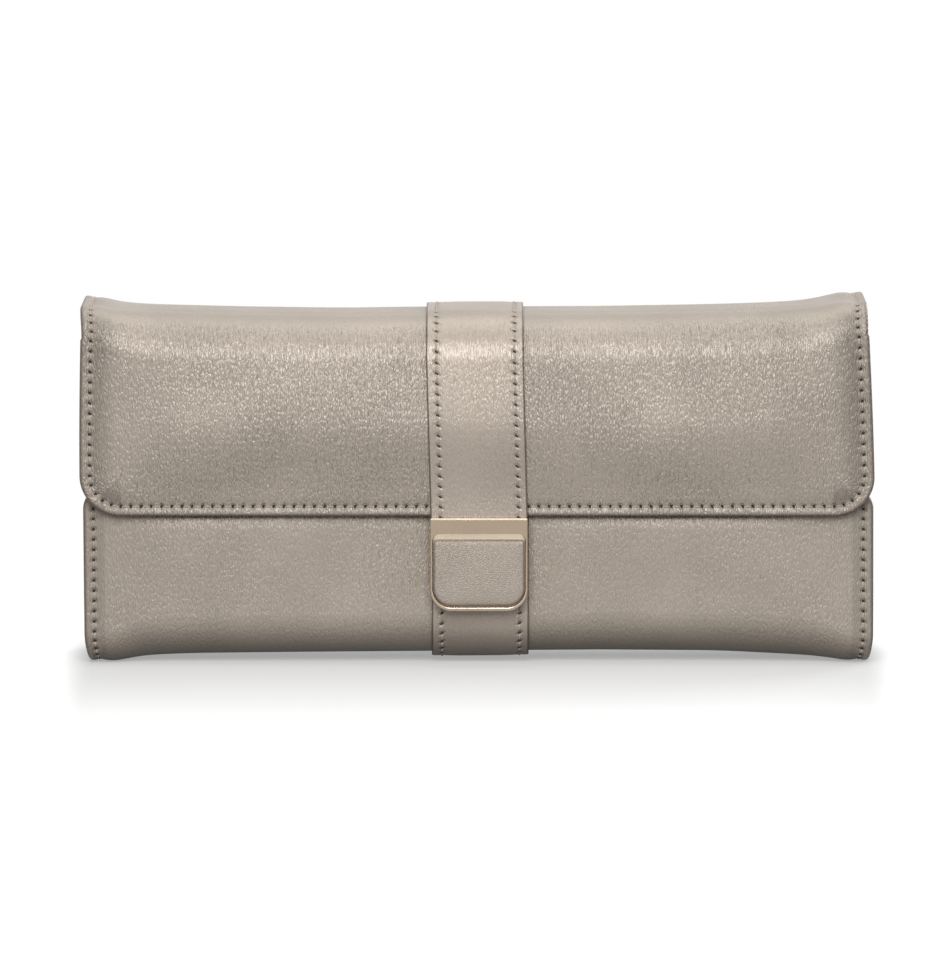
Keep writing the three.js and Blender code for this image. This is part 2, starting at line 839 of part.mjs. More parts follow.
// A slider over the chain: a cover, a flange on each side, two lugs and the pin between them
function zipSliderGeometry(pocket) {
  const x = sliderStart(pocket);
  const z = zipHeight(pocket);
  const half = sliderLength / 2;
  const cover = toSolid(pocketBox(
    pocket, x - half, x + half, zipLayers.slider, sliderTop, z - flangeOuter, z + flangeOuter,
  ));
  const flanges = [-1, 1].map((side) => {
    const edges = [side * flangeInner, side * flangeOuter].sort((a, b) => a - b);
    return toSolid(pocketBox(
      pocket, x - half, x + half, zipLayers.chain, zipLayers.slider + overrun / 2,
      z + edges[0], z + edges[1],
    ));
  });
  const lugs = [-1, 1].map((side) => {
    const inner = side * (pullerEyeLength / 2 + clearance);
    const edges = [inner, inner + side * lugLength].sort((a, b) => a - b);
    return toSolid(pocketBox(
      pocket, x + edges[0], x + edges[1], sliderTop - overrun / 2, pinHeight + 2 * pinRadius,
      z - 2 * pinRadius, z + 2 * pinRadius,
    ));
  });
  const pinHalf = pullerEyeLength / 2 + clearance + lugLength / 2;
  const place = [x - pinHalf, pocketY(pocket, pinHeight), z];
  const pin = toSolid(disc(pinRadius, 2 * pinHalf, alongX, place, 8));
  return toGeometry([...flanges, ...lugs, pin].reduce((sum, piece) => sum.add(piece), cover));
}

// A puller that hangs from the slider's pin by its eye
function zipPullerGeometry(pocket) {
  const x = sliderStart(pocket);
  const z = zipHeight(pocket);
  const y = pocketY(pocket, pinHeight);
  const eye = new THREE.Shape().absarc(0, 0, pullerEyeRadius, 0, 2 * Math.PI, false);
  const eyeHalf = pullerEyeLength / 2;
  const ring = toSolid(prismX(eye, x - eyeHalf, x + eyeHalf, 10).translate(0, y, z));
  const bore = new THREE.Shape().absarc(0, 0, pinRadius + clearance, 0, 2 * Math.PI, false);
  const hole = toSolid(prismX(bore, x - pullerWidth, x + pullerWidth, 8).translate(0, y, z));
  const half = pullerThickness / 2;
  const neck = toSolid(box(x - eyeHalf, x + eyeHalf, y - half, y + half, z - pullerNeck - half, z));
  const plate = toSolid(prismY(
    roundedOutline(
      x - pullerWidth / 2,
      x + pullerWidth / 2,
      z - pullerLength,
      z - pullerNeck,
      pullerWidth / 3,
      pullerThickness,
    ),
    y - half,
    y + half,
  ));
  return toGeometry(ring.add(neck).add(plate).subtract(hole));
}

// Finishes
const finishes = {
  pewterLeather: { color: 0xafa496, roughness: 0.42, metalness: 0.35 },
  edgePaint: { color: 0xa2968a, roughness: 0.4, metalness: 0.3 },
  board: { color: 0x9a8a70, roughness: 0.9, metalness: 0 },
  padding: { color: 0xd8d2c6, roughness: 0.95, metalness: 0 },
  suede: { color: 0x8d8378, roughness: 0.95, metalness: 0 },
  paleGold: { color: 0xc9b397, roughness: 0.22, metalness: 1 },
  steel: { color: 0xb9b7b3, roughness: 0.3, metalness: 1 },
  zipTape: { color: 0x8a8076, roughness: 0.9, metalness: 0 },
  barCore: { color: 0xcfc8bb, roughness: 0.8, metalness: 0 },
};

const group = new THREE.Group();

function add(name, geometry, finish) {
  const mesh = new THREE.Mesh(geometry, new THREE.MeshStandardMaterial(finishes[finish]));
  mesh.name = name;
  group.add(mesh);
}

function addPanels() {
  for (const panel of ['flap', 'top', 'back', 'bottom', 'front']) {
    add(`cover_${panel}`, coverGeometry(panel), 'pewterLeather');
    add(`lining_${panel}`, liningGeometry(panel), 'suede');
  }
  const lowerFlat = bottomArch + foldRadius;
  const upperFlat = rollHeight - topSag - foldRadius;
  const edge = turnedEdge + 2 * clearance;
  const flapFoot = flapEdgeHeight + edge;
  add('board_flap', boardGeometry('flap', flapFace, 1, flapFoot, upperFlat), 'board');
  add('board_back', boardGeometry('back', backFace, -1, lowerFlat, upperFlat), 'board');
  const frontTop = frontEdgeHeight - edge;
  add('board_front', boardGeometry('front', frontFace, 1, lowerFlat, frontTop), 'board');
  add('padding_top', paddingGeometry('top', flapFace + foldRadius, topAt, 1), 'padding');
  const bottomFront = frontFace + foldRadius;
  add('padding_bottom', paddingGeometry('bottom', bottomFront, bottomAt, -1), 'padding');
}

function addStrap() {
  add('strap_flap', strapFlapGeometry(), 'edgePaint');
  for (const panel of ['top', 'back', 'bottom']) {
    add(`strap_${panel}`, toGeometry(strapLayer(panel)), 'edgePaint');
  }
  add('strap_front', strapFrontGeometry(), 'edgePaint');
}

function addClasp() {
  add('clasp_frame', claspFrameGeometry(), 'paleGold');
  add('clasp_inlay', claspInlayGeometry(), 'pewterLeather');
  add('clasp_backplate', claspBackplateGeometry(), 'paleGold');
  add('clasp_magnet', magnetGeometry(), 'steel');
  add('strap_keeper', keeperGeometry(), 'steel');
}

function addRingBar() {
  add('ring_bar_core', barCoreGeometry(), 'barCore');
  add('ring_bar_sleeve', barSleeveGeometry(), 'suede');
  add('ring_bar_hinge_tab', barHingeTabGeometry(), 'pewterLeather');
  add('ring_bar_snap_tab', barSnapTabGeometry(), 'pewterLeather');
  add('ring_bar_snap_cap', snapCapGeometry(upwards, barSnapPlace), 'paleGold');
  add('ring_bar_snap_stud', studGeometry(upwards, barSnapPlace), 'paleGold');
}

function addNecklaceTabs() {
  for (let number = 0; number < necklaceTabCount; number += 1) {
    const place = necklaceSnapPlace(number);
    const label = number + 1;
    add(`necklace_tab_${label}`, necklaceTabGeometry(number), 'pewterLeather');
    add(`necklace_cap_${label}`, snapCapGeometry(forwards, place), 'paleGold');
    add(`necklace_stud_${label}`, studGeometry(forwards, place), 'paleGold');
  }
}

function addPockets() {
  for (const pocket of pocketPlaces) {
    add(`${pocket.name}_pocket_face`, pocketFaceGeometry(pocket), 'pewterLeather');
    add(`${pocket.name}_zip_tape`, zipTapeGeometry(pocket), 'zipTape');
    add(`${pocket.name}_zip_chain`, zipChainGeometry(pocket), 'paleGold');
    add(`${pocket.name}_zip_slider`, zipSliderGeometry(pocket), 'paleGold');
    add(`${pocket.name}_zip_puller`, zipPullerGeometry(pocket), 'paleGold');
  }
}

addPanels();
addStrap();
addClasp();
addRingBar();
addNecklaceTabs();
addPockets();

// The origin lies under the middle of the depth from the clasp's front to the strap's back
const depthMiddle = (claspFront + backFace - strapOuter) / 2;
group.position.set(0, -depthMiddle, 0);

export default group;
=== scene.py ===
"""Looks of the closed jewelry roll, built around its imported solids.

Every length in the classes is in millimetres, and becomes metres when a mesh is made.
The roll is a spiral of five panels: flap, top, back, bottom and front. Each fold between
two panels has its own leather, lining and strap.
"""

import json
import logging
import math
from collections.abc import Callable, Iterable, Sequence
from dataclasses import dataclass, field
from enum import Enum
from functools import cache

import bmesh
import bpy
import numpy as np
from mathutils import Matrix, Vector


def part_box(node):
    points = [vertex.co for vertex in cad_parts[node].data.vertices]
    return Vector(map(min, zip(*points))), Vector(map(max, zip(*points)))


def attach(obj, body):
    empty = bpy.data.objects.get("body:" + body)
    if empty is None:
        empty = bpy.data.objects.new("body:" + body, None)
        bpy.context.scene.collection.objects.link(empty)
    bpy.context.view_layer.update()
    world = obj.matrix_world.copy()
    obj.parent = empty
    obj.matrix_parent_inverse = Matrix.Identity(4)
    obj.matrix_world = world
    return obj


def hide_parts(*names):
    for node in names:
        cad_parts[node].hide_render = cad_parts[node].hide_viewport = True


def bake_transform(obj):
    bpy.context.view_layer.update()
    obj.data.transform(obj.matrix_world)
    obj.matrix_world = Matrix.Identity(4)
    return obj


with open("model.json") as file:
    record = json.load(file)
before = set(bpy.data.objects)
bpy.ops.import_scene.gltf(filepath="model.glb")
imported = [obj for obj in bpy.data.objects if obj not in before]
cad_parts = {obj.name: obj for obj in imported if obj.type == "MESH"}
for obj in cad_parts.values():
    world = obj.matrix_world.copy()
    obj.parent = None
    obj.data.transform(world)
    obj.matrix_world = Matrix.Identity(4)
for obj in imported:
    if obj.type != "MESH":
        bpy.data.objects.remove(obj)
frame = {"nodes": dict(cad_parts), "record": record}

log = logging.getLogger("jewelry_roll")

Piece = bpy.types.Object
Pair = tuple[Piece, Piece]
Socket = bpy.types.NodeSocket
Nodes = bpy.types.NodeTree
Inputs = bpy.types.bpy_prop_collection
Colour = tuple[float, float, float, float]
Outline = Sequence[tuple[float, float]]
Points = list[tuple[float, float]]
Stitch = tuple[np.ndarray, np.ndarray]
Spot = tuple[float, float, float]

MM = 0.001
QUARTER = math.pi / 2
FULL = 2 * math.pi
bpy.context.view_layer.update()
ORIGIN = (0.0, 0.0, 0.0)
SQUARE_ON = 0.95
SAME_COUNT = 0.01


def smooth(value: float) -> float:
    """Returns a value from 0 to 1 with an eased start and end."""
    value = min(max(value, 0.0), 1.0)
    return value * value * (3 - 2 * value)


def peak(value: float, power: int = 2) -> float:
    """Returns a bell that is 1 at 0 and nearly 0 past 2."""
    return math.exp(-(value ** power))


def rgb(red: int, green: int, blue: int) -> Colour:
    """Returns a screen colour of 0 to 255 as the linear colour that a shader takes."""
    shares = [value / 255 for value in (red, green, blue)]
    linear = [s / 12.92 if s <= 0.04045 else ((s + 0.055) / 1.055) ** 2.4 for s in shares]
    return (*linear, 1.0)


def follows(normals: np.ndarray, way: Sequence[float]) -> bool:
    """Tells whether the directions that lie nearly along a way point with it, not against it."""
    facing = normals @ np.array(way, float)
    return facing[np.abs(facing) > SQUARE_ON].sum() >= 0


def outward(points: np.ndarray, way: Sequence[float]) -> np.ndarray:
    """Returns the direction off a grid at each point, on the side that a way points to."""
    normals = np.cross(np.gradient(points, axis=1), np.gradient(points, axis=0))
    normals /= np.linalg.norm(normals, axis=2, keepdims=True) + 1e-12
    return normals if follows(normals, way) else -normals


def travelled(places: np.ndarray) -> np.ndarray:
    """Returns how far along a line each of its places is."""
    return np.concatenate([[0], np.cumsum(np.linalg.norm(np.diff(places, axis=0), axis=1))])


def along(places: np.ndarray, run: np.ndarray, length: float | np.ndarray) -> np.ndarray:
    """Returns the place at a length along a line."""
    return np.array([np.interp(length, run, places[:, i]) for i in range(3)])


class Part(Enum):
    """The parts of a mesh that edit mode can pick."""

    FACE = "faces"
    EDGE = "edges"


class Modelling:
    """Edit mode on one piece, with all of it selected until faces or edges are picked."""

    def __init__(self, piece: Piece) -> None:
        """Keeps the piece that is worked on."""
        self.piece = piece

    def __enter__(self) -> "Modelling":
        """Opens edit mode in face mode."""
        Bench.hold(self.piece)
        bpy.ops.object.mode_set(mode="EDIT")
        bpy.ops.mesh.select_mode(type="FACE")
        bpy.ops.mesh.select_all(action="SELECT")
        return self

    def __exit__(self, *_: object) -> None:
        """Closes edit mode."""
        bpy.ops.object.mode_set(mode="OBJECT")

    def pick(self, part: Part, test: Callable[[object], bool]) -> None:
        """Selects only the faces or edges that pass a test."""
        bpy.ops.mesh.select_mode(type=part.name)
        bpy.ops.mesh.select_all(action="DESELECT")
        mesh = bmesh.from_edit_mesh(self.piece.data)
        for item in getattr(mesh, part.value):
            item.select_set(test(item))
        bmesh.update_edit_mesh(self.piece.data)

    @staticmethod
    def extrude(x: float, y: float, z: float, unit: float = MM) -> None:
        """Extrudes what is selected by a move."""
        move = (x * unit, y * unit, z * unit)
        bpy.ops.mesh.extrude_region_move(TRANSFORM_OT_translate={"value": move})


class Bench:
    """The workbench: the few moves that every piece is made with."""

    @staticmethod
    def clear() -> None:
        """Deselects everything, the CAD nodes too."""
        bpy.ops.object.select_all(action="DESELECT")

    @staticmethod
    def hold(piece: Piece) -> None:
        """Selects one piece alone and makes it active."""
        Bench.clear()
        piece.select_set(True)
        bpy.context.view_layer.objects.active = piece

    @staticmethod
    def name(title: str) -> Piece:
        """Names the active piece and its mesh, and returns it."""
        piece = bpy.context.object
        piece.name = piece.data.name = title
        return piece

    @staticmethod
    def add(title: str, primitive: Callable, **settings: object) -> Piece:
        """Adds a primitive with nothing else selected, and returns it with its name."""
        Bench.clear()
        primitive(**settings)
        return Bench.name(title)

    @staticmethod
    def settle(piece: Piece) -> None:
        """Moves a piece's place into its mesh, so that its object sits at the origin."""
        Bench.hold(piece)
        bpy.ops.object.transform_apply(location=True, rotation=True, scale=True)

    @staticmethod
    def modify(piece: Piece, kind: str, **settings: object) -> None:
        """Adds one modifier of a kind that Blender names, with its settings, and applies it."""
        Bench.hold(piece)
        modifier = piece.modifiers.new(kind.title(), kind)
        for key, value in settings.items():
            setattr(modifier, key, value)
        bpy.ops.object.modifier_apply(modifier=modifier.name)

    @staticmethod
    def thicken(piece: Piece, depth: float, **settings: object) -> None:
        """Gives a sheet its thickness, behind the side that is seen."""
        Bench.modify(piece, "SOLIDIFY", thickness=depth * MM, offset=-1, use_even_offset=False,
                     **settings)

    @staticmethod
    def ease(piece: Piece, width: float, segments: int = 3, degrees: float = 60) -> None:
        """Rounds the edges that are sharper than an angle."""
        Bench.modify(piece, "BEVEL", width=width * MM, segments=segments, limit_method="ANGLE",
                     angle_limit=math.radians(degrees))

    @staticmethod
    def soften(piece: Piece, degrees: float = 50) -> None:
        """Shades a piece smooth, apart from its sharper edges."""
        Bench.hold(piece)
        bpy.ops.object.shade_smooth_by_angle(angle=math.radians(degrees))

    @staticmethod
    def outwards(piece: Piece) -> None:
        """Turns all faces of a closed piece outwards."""
        with Modelling(piece):
            bpy.ops.mesh.normals_make_consistent(inside=False)

    @staticmethod
    def turn_to(piece: Piece, way: Sequence[float]) -> None:
        """Turns an open sheet over, if the side that a way points to is its back."""
        if not follows(np.array([item.normal for item in piece.data.polygons]), way):
            with Modelling(piece):
                bpy.ops.mesh.flip_normals()

    @staticmethod
    def note(piece: Piece, title: str, values: np.ndarray) -> None:
        """Stores three numbers for each point of a piece, for its material to read."""
        attribute = piece.data.attributes.new(title, "FLOAT_VECTOR", "POINT")
        attribute.data.foreach_set("vector", np.asarray(values, np.float32).ravel())

    @staticmethod
    def sheet(title: str, points: np.ndarray, notes: dict[str, np.ndarray],
              way: Sequence[float]) -> Piece:
        """Lays a grid of faces on rows and columns of points.

        Args:
            title: the piece's name.
            points: the places, as rows by columns by three.
            notes: numbers for the material, each with the shape of the points.
            way: where the side that is seen points to.

        Returns:
            The open sheet.
        """
        rows, columns = points.shape[:2]
        piece = Bench.add(title, bpy.ops.mesh.primitive_grid_add, x_subdivisions=columns - 1,
                          y_subdivisions=rows - 1, size=2)
        mesh = piece.data
        flat = np.empty(len(mesh.vertices) * 3)
        mesh.vertices.foreach_get("co", flat)
        column, row = (np.rint((values + 1) / 2 * (count - 1)).astype(int)
                       for values, count in zip(flat.reshape(-1, 3).T, (columns, rows)))
        order = row * columns + column
        mesh.vertices.foreach_set("co", (points.reshape(-1, 3)[order] * MM).ravel())
        for layer in list(mesh.uv_layers):
            mesh.uv_layers.remove(layer)
        for key, values in notes.items():
            Bench.note(piece, key, values.reshape(-1, 3)[order])
        mesh.update()
        Bench.turn_to(piece, way)
        return piece

    @staticmethod
    def face(title: str, outline: Outline, depth: float) -> Piece:
        """Lays one face on an outline of width and height, seen from the front.

        Args:
            title: the piece's name.
            outline: the places round it.
            depth: where it lies from front to back.

        Returns:
            The flat piece.
        """
        piece = Bench.add(title, bpy.ops.mesh.primitive_circle_add, vertices=len(outline),
                          radius=1, fill_type="NGON")
        for vertex, (x, z) in zip(piece.data.vertices, outline):
            vertex.co = Vector((x, depth, z)) * MM
        piece.data.update()
        Bench.turn_to(piece, (0, -1, 0))
        return piece

    @staticmethod
    def ring(title: str, loops: Sequence[np.ndarray]) -> Piece:
        """Bends a torus onto loops of points that follow each other round a closed section.

        Args:
            title: the piece's name.
            loops: the loops, each with the same number of points.

        Returns:
            The closed ring.
        """
        piece = Bench.add(title, bpy.ops.mesh.primitive_torus_add, major_segments=len(loops[0]),
                          minor_segments=len(loops), major_radius=2, minor_radius=0.5)
        places = np.array(loops).transpose(1, 0, 2).reshape(-1, 3) * MM
        piece.data.vertices.foreach_set("co", places.ravel())
        piece.data.update()
        Bench.outwards(piece)
        return piece

    @staticmethod
    def pad(title: str, loops: Sequence[np.ndarray]) -> Piece:
        """Draws a sphere over loops of points, and closes it over the first and last loop.

        Args:
            title: the piece's name.
            loops: the loops, each with the same number of points.

        Returns:
            The closed piece.
        """
        around, levels = len(loops[0]), len(loops)
        piece = Bench.add(title, bpy.ops.mesh.primitive_uv_sphere_add, segments=around,
                          ring_count=levels + 1, radius=1)
        for vertex in piece.data.vertices:
            x, y, z = vertex.co
            level = round(math.acos(max(-1.0, min(1.0, z))) / math.pi * (levels + 1))
            if 1 <= level <= levels:
                turn = round(math.atan2(y, x) / FULL * around) % around
                vertex.co = Vector(loops[level - 1][turn]) * MM
            else:
                vertex.co = Vector(np.mean(loops[0] if level < 1 else loops[-1], axis=0)) * MM
        piece.data.update()
        Bench.outwards(piece)
        return piece

    @staticmethod
    def turned(title: str, outline: Outline, place: Vector, axis: Vector, sides: int = 32) -> Piece:
        """Makes a piece that is round about an axis.

        Args:
            title: the piece's name.
            outline: its radii and heights from one end to the other.
            place: where the heights start.
            axis: the way the heights run.
            sides: the faces round it.

        Returns:
            The closed piece.
        """
        first = axis.orthogonal().normalized()
        second = axis.cross(first)
        turns = [FULL * step / sides for step in range(sides)]
        ways = [first * math.cos(turn) + second * math.sin(turn) for turn in turns]
        loops = [np.array([place + axis * height + way * radius for way in ways])
                 for radius, height in outline]
        piece = Bench.pad(title, loops)
        Bench.soften(piece, 32)
        return piece


class Tree:
    """A node tree that is filled with short calls."""

    def __init__(self, nodes: Nodes) -> None:
        """Keeps the node tree."""
        self.nodes = nodes

    def put(self, kind: str, inputs: dict | None = None, **settings: object) -> bpy.types.Node:
        """Adds one node.

        Args:
            kind: the node's type without its first words, such as Math or TexNoise.
            inputs: for each socket, by name or number, a value or the socket that feeds it.
            settings: the node's own settings.

        Returns:
            The node.
        """
        prefix = "" if kind.startswith("NodeGroup") else "ShaderNode"
        node = self.nodes.nodes.new(prefix + kind)
        for key, value in settings.items():
            setattr(node, key, value)
        for key, value in (inputs or {}).items():
            self.feed(node.inputs[key], value)
        return node

    def feed(self, socket: Socket, value: object) -> None:
        """Gives a socket a value, or links it to another socket."""
        if isinstance(value, Socket):
            self.nodes.links.new(value, socket)
        else:
            socket.default_value = value

    def do(self, operation: str, *values: object) -> Socket:
        """Returns the result of one operation on numbers."""
        return self.put("Math", dict(enumerate(values)), operation=operation).outputs[0]

    def times(self, *values: object) -> Socket:
        """Returns one number times another."""
        return self.do("MULTIPLY", *values)

    def vector(self, operation: str, *values: object) -> Socket:
        """Returns the result of one operation on vectors."""
        return self.put("VectorMath", dict(enumerate(values)), operation=operation).outputs[0]

    def split(self, vector: object) -> list[Socket]:
        """Returns the three parts of a vector."""
        return list(self.put("SeparateXYZ", {0: vector}).outputs)

    def join(self, x: object, y: object) -> Socket:
        """Returns a flat vector."""
        return self.put("CombineXYZ", {0: x, 1: y}).outputs[0]

    def place(self) -> Socket:
        """Returns the place on the object in millimetres."""
        return self.vector("MULTIPLY", self.put("TexCoord").outputs["Object"], [1 / MM] * 3)

    def attribute(self, title: str) -> Socket:
        """Returns the numbers that a piece keeps for its material."""
        node = self.put("Attribute", attribute_name=title, attribute_type="GEOMETRY")
        return node.outputs["Vector"]

    def span(self, value: object, low: object, high: object, start: object = 0.0,
             stop: object = 1.0) -> Socket:
        """Returns a value eased from one range into another, and held at its ends."""
        inputs = {"Value": value, "From Min": low, "From Max": high, "To Min": start,
                  "To Max": stop}
        return self.put("MapRange", inputs, interpolation_type="SMOOTHSTEP").outputs[0]

    def mix(self, share: object, first: object, second: object) -> Socket:
        """Returns one colour mixed with another by a share."""
        inputs = {0: share, 6: first, 7: second}
        return self.put("Mix", inputs, data_type="RGBA", blend_type="MIX").outputs[2]

    def noise(self, vector: object, size: object, detail: float = 2.0,
              rough: float = 0.5) -> Socket:
        """Returns a cloudy value whose patches are about a size across."""
        scale = self.do("DIVIDE", 1.0, size) if isinstance(size, Socket) else 1 / size
        inputs = {"Vector": vector, "Scale": scale, "Detail": detail, "Roughness": rough}
        return self.put("TexNoise", inputs).outputs[0]

    def bump(self, height: object, rise: float, strength: float = 1.0,
             normal: object = None) -> Socket:
        """Returns a normal that follows a height, whose full rise is in millimetres."""
        inputs = {"Height": height, "Distance": rise * MM, "Strength": strength}
        if normal is not None:
            inputs["Normal"] = normal
        return self.put("Bump", inputs).outputs[0]


class Effect:
    """Node groups that several finishes share, each made on first use."""

    @staticmethod
    def begin(title: str, inputs: dict[str, object],
              outputs: Iterable[str]) -> tuple[Tree, Inputs, Inputs]:
        """Starts a node group.

        Args:
            title: the group's name.
            inputs: each input's name and its value: a number, or a vector of three.
            outputs: the names of the outputs, all numbers.

        Returns:
            The tree, the inputs as sockets and the outputs to feed.
        """
        group = bpy.data.node_groups.new(title, "ShaderNodeTree")
        for key, value in inputs.items():
            kind = "NodeSocketVector" if isinstance(value, tuple) else "NodeSocketFloat"
            group.interface.new_socket(key, in_out="INPUT", socket_type=kind).default_value = value
        for key in outputs:
            group.interface.new_socket(key, in_out="OUTPUT", socket_type="NodeSocketFloat")
        tree = Tree(group)
        return tree, tree.put("NodeGroupInput").outputs, tree.put("NodeGroupOutput").inputs

    @staticmethod
    @cache
    def grain() -> Nodes:
        """Returns the crinkled grain of calf leather, longer than wide."""
        values = {"Surface": ORIGIN, "Width": 0.72, "Length": 1.35}
        tree, entry, out = Effect.begin("leather_grain", values, ("Height", "Tone"))
        x, y, _ = tree.split(entry["Surface"])
        place = tree.join(tree.do("DIVIDE", x, entry["Width"]),
                          tree.do("DIVIDE", y, entry["Length"]))
        sway = tree.put("TexNoise", {"Vector": place, "Scale": 0.55, "Detail": 2.0})
        centred = tree.vector("SUBTRACT", sway.outputs["Color"], (0.5, 0.5, 0.5))
        moved = tree.vector("ADD", tree.vector("MULTIPLY", centred, (1.7, 1.7, 0)), place)
        cells = tree.put("TexVoronoi", {"Vector": moved, "Scale": 1.0}, voronoi_dimensions="2D",
                         feature="DISTANCE_TO_EDGE").outputs["Distance"]
        pebble = tree.times(tree.span(cells, 0.0, 0.36), 0.42)
        height = tree.do("ADD", tree.noise(moved, 1 / 1.3, 1.5), pebble)
        tree.feed(out["Height"], height)
        tree.feed(out["Tone"], tree.span(height, 0.3, 0.95))
        return tree.nodes

    @staticmethod
    @cache
    def pits() -> Nodes:
        """Returns the masks of a seam's needle holes and their dimples, which leather darkens as
        painted shade.
        """
        values = {"Seam": ORIGIN, "Line": 3.0, "Half Width": 0.5, "Half Length": 0.13, "Slant": 0.1}
        tree, entry, out = Effect.begin("needle_holes", values, ("Hole", "Pull"))
        inset, stitch, _ = tree.split(entry["Seam"])
        off = tree.do("SUBTRACT", inset, entry["Line"])
        leaning = tree.do("MULTIPLY_ADD", off, entry["Slant"], stitch)
        phase = tree.do("SUBTRACT", leaning, tree.do("ROUND", leaning))
        wide = tree.do("DIVIDE", off, entry["Half Width"])
        long = tree.do("DIVIDE", phase, entry["Half Length"])
        reach = tree.do("SQRT", tree.do("ADD", tree.times(wide, wide), tree.times(long, long)))
        tree.feed(out["Hole"], tree.span(reach, 0.72, 1.15, 1.0, 0.0))
        tree.feed(out["Pull"], tree.span(reach, 0.8, 2.4, 1.0, 0.0))
        return tree.nodes

    @staticmethod
    @cache
    def nap() -> Nodes:
        """Returns the brushed fibre of suede."""
        values = {"Surface": ORIGIN, "Fibre": 0.35, "Patch": 14.0}
        tree, entry, out = Effect.begin("brushed_nap", values, ("Height", "Patch", "Fleck"))
        fibre = tree.noise(entry["Surface"], entry["Fibre"], 3.0, 0.65)
        tree.feed(out["Height"], fibre)
        tree.feed(out["Patch"], tree.span(tree.noise(entry["Surface"], entry["Patch"]), 0.35, 0.65))
        tree.feed(out["Fleck"], tree.span(fibre, 0.35, 0.7))
        return tree.nodes

    @staticmethod
    @cache
    def scuff() -> Nodes:
        """Returns the faint haze of handled metal."""
        values = {"Surface": ORIGIN, "Patch": 9.0}
        tree, entry, out = Effect.begin("handled_metal", values, ("Haze",))
        haze = tree.noise(entry["Surface"], entry["Patch"], 4.0)
        tree.feed(out["Haze"], tree.span(haze, 0.3, 0.7))
        return tree.nodes


@dataclass(frozen=True)
class Finish:
    """A surface finish. Its material is built once and shared."""

    title: str
    colour: Colour
    roughness: float = 0.5
    metallic: float = 0.0

    def shade(self, share: float) -> Colour:
        """Returns the finish's colour made darker or lighter."""
        return (*(min(value * share, 1.0) for value in self.colour[:3]), 1.0)

    def build(self, tree: Tree, shader: Inputs) -> None:
        """Feeds the material's shader."""
        raise NotImplementedError

    @cache
    def material(self) -> bpy.types.Material:
        """Returns the material, built on first use."""
        material = bpy.data.materials.new(self.title)
        material.use_nodes = True
        shader = material.node_tree.nodes["Principled BSDF"].inputs
        shader["Roughness"].default_value = self.roughness
        shader["Metallic"].default_value = self.metallic
        self.build(Tree(material.node_tree), shader)
        return material

    def dress(self, *pieces: Piece) -> None:
        """Gives whole pieces this finish."""
        for piece in pieces:
            piece.data.materials.clear()
            piece.data.materials.append(self.material())
            piece.data.polygons.foreach_set("material_index", [0] * len(piece.data.polygons))


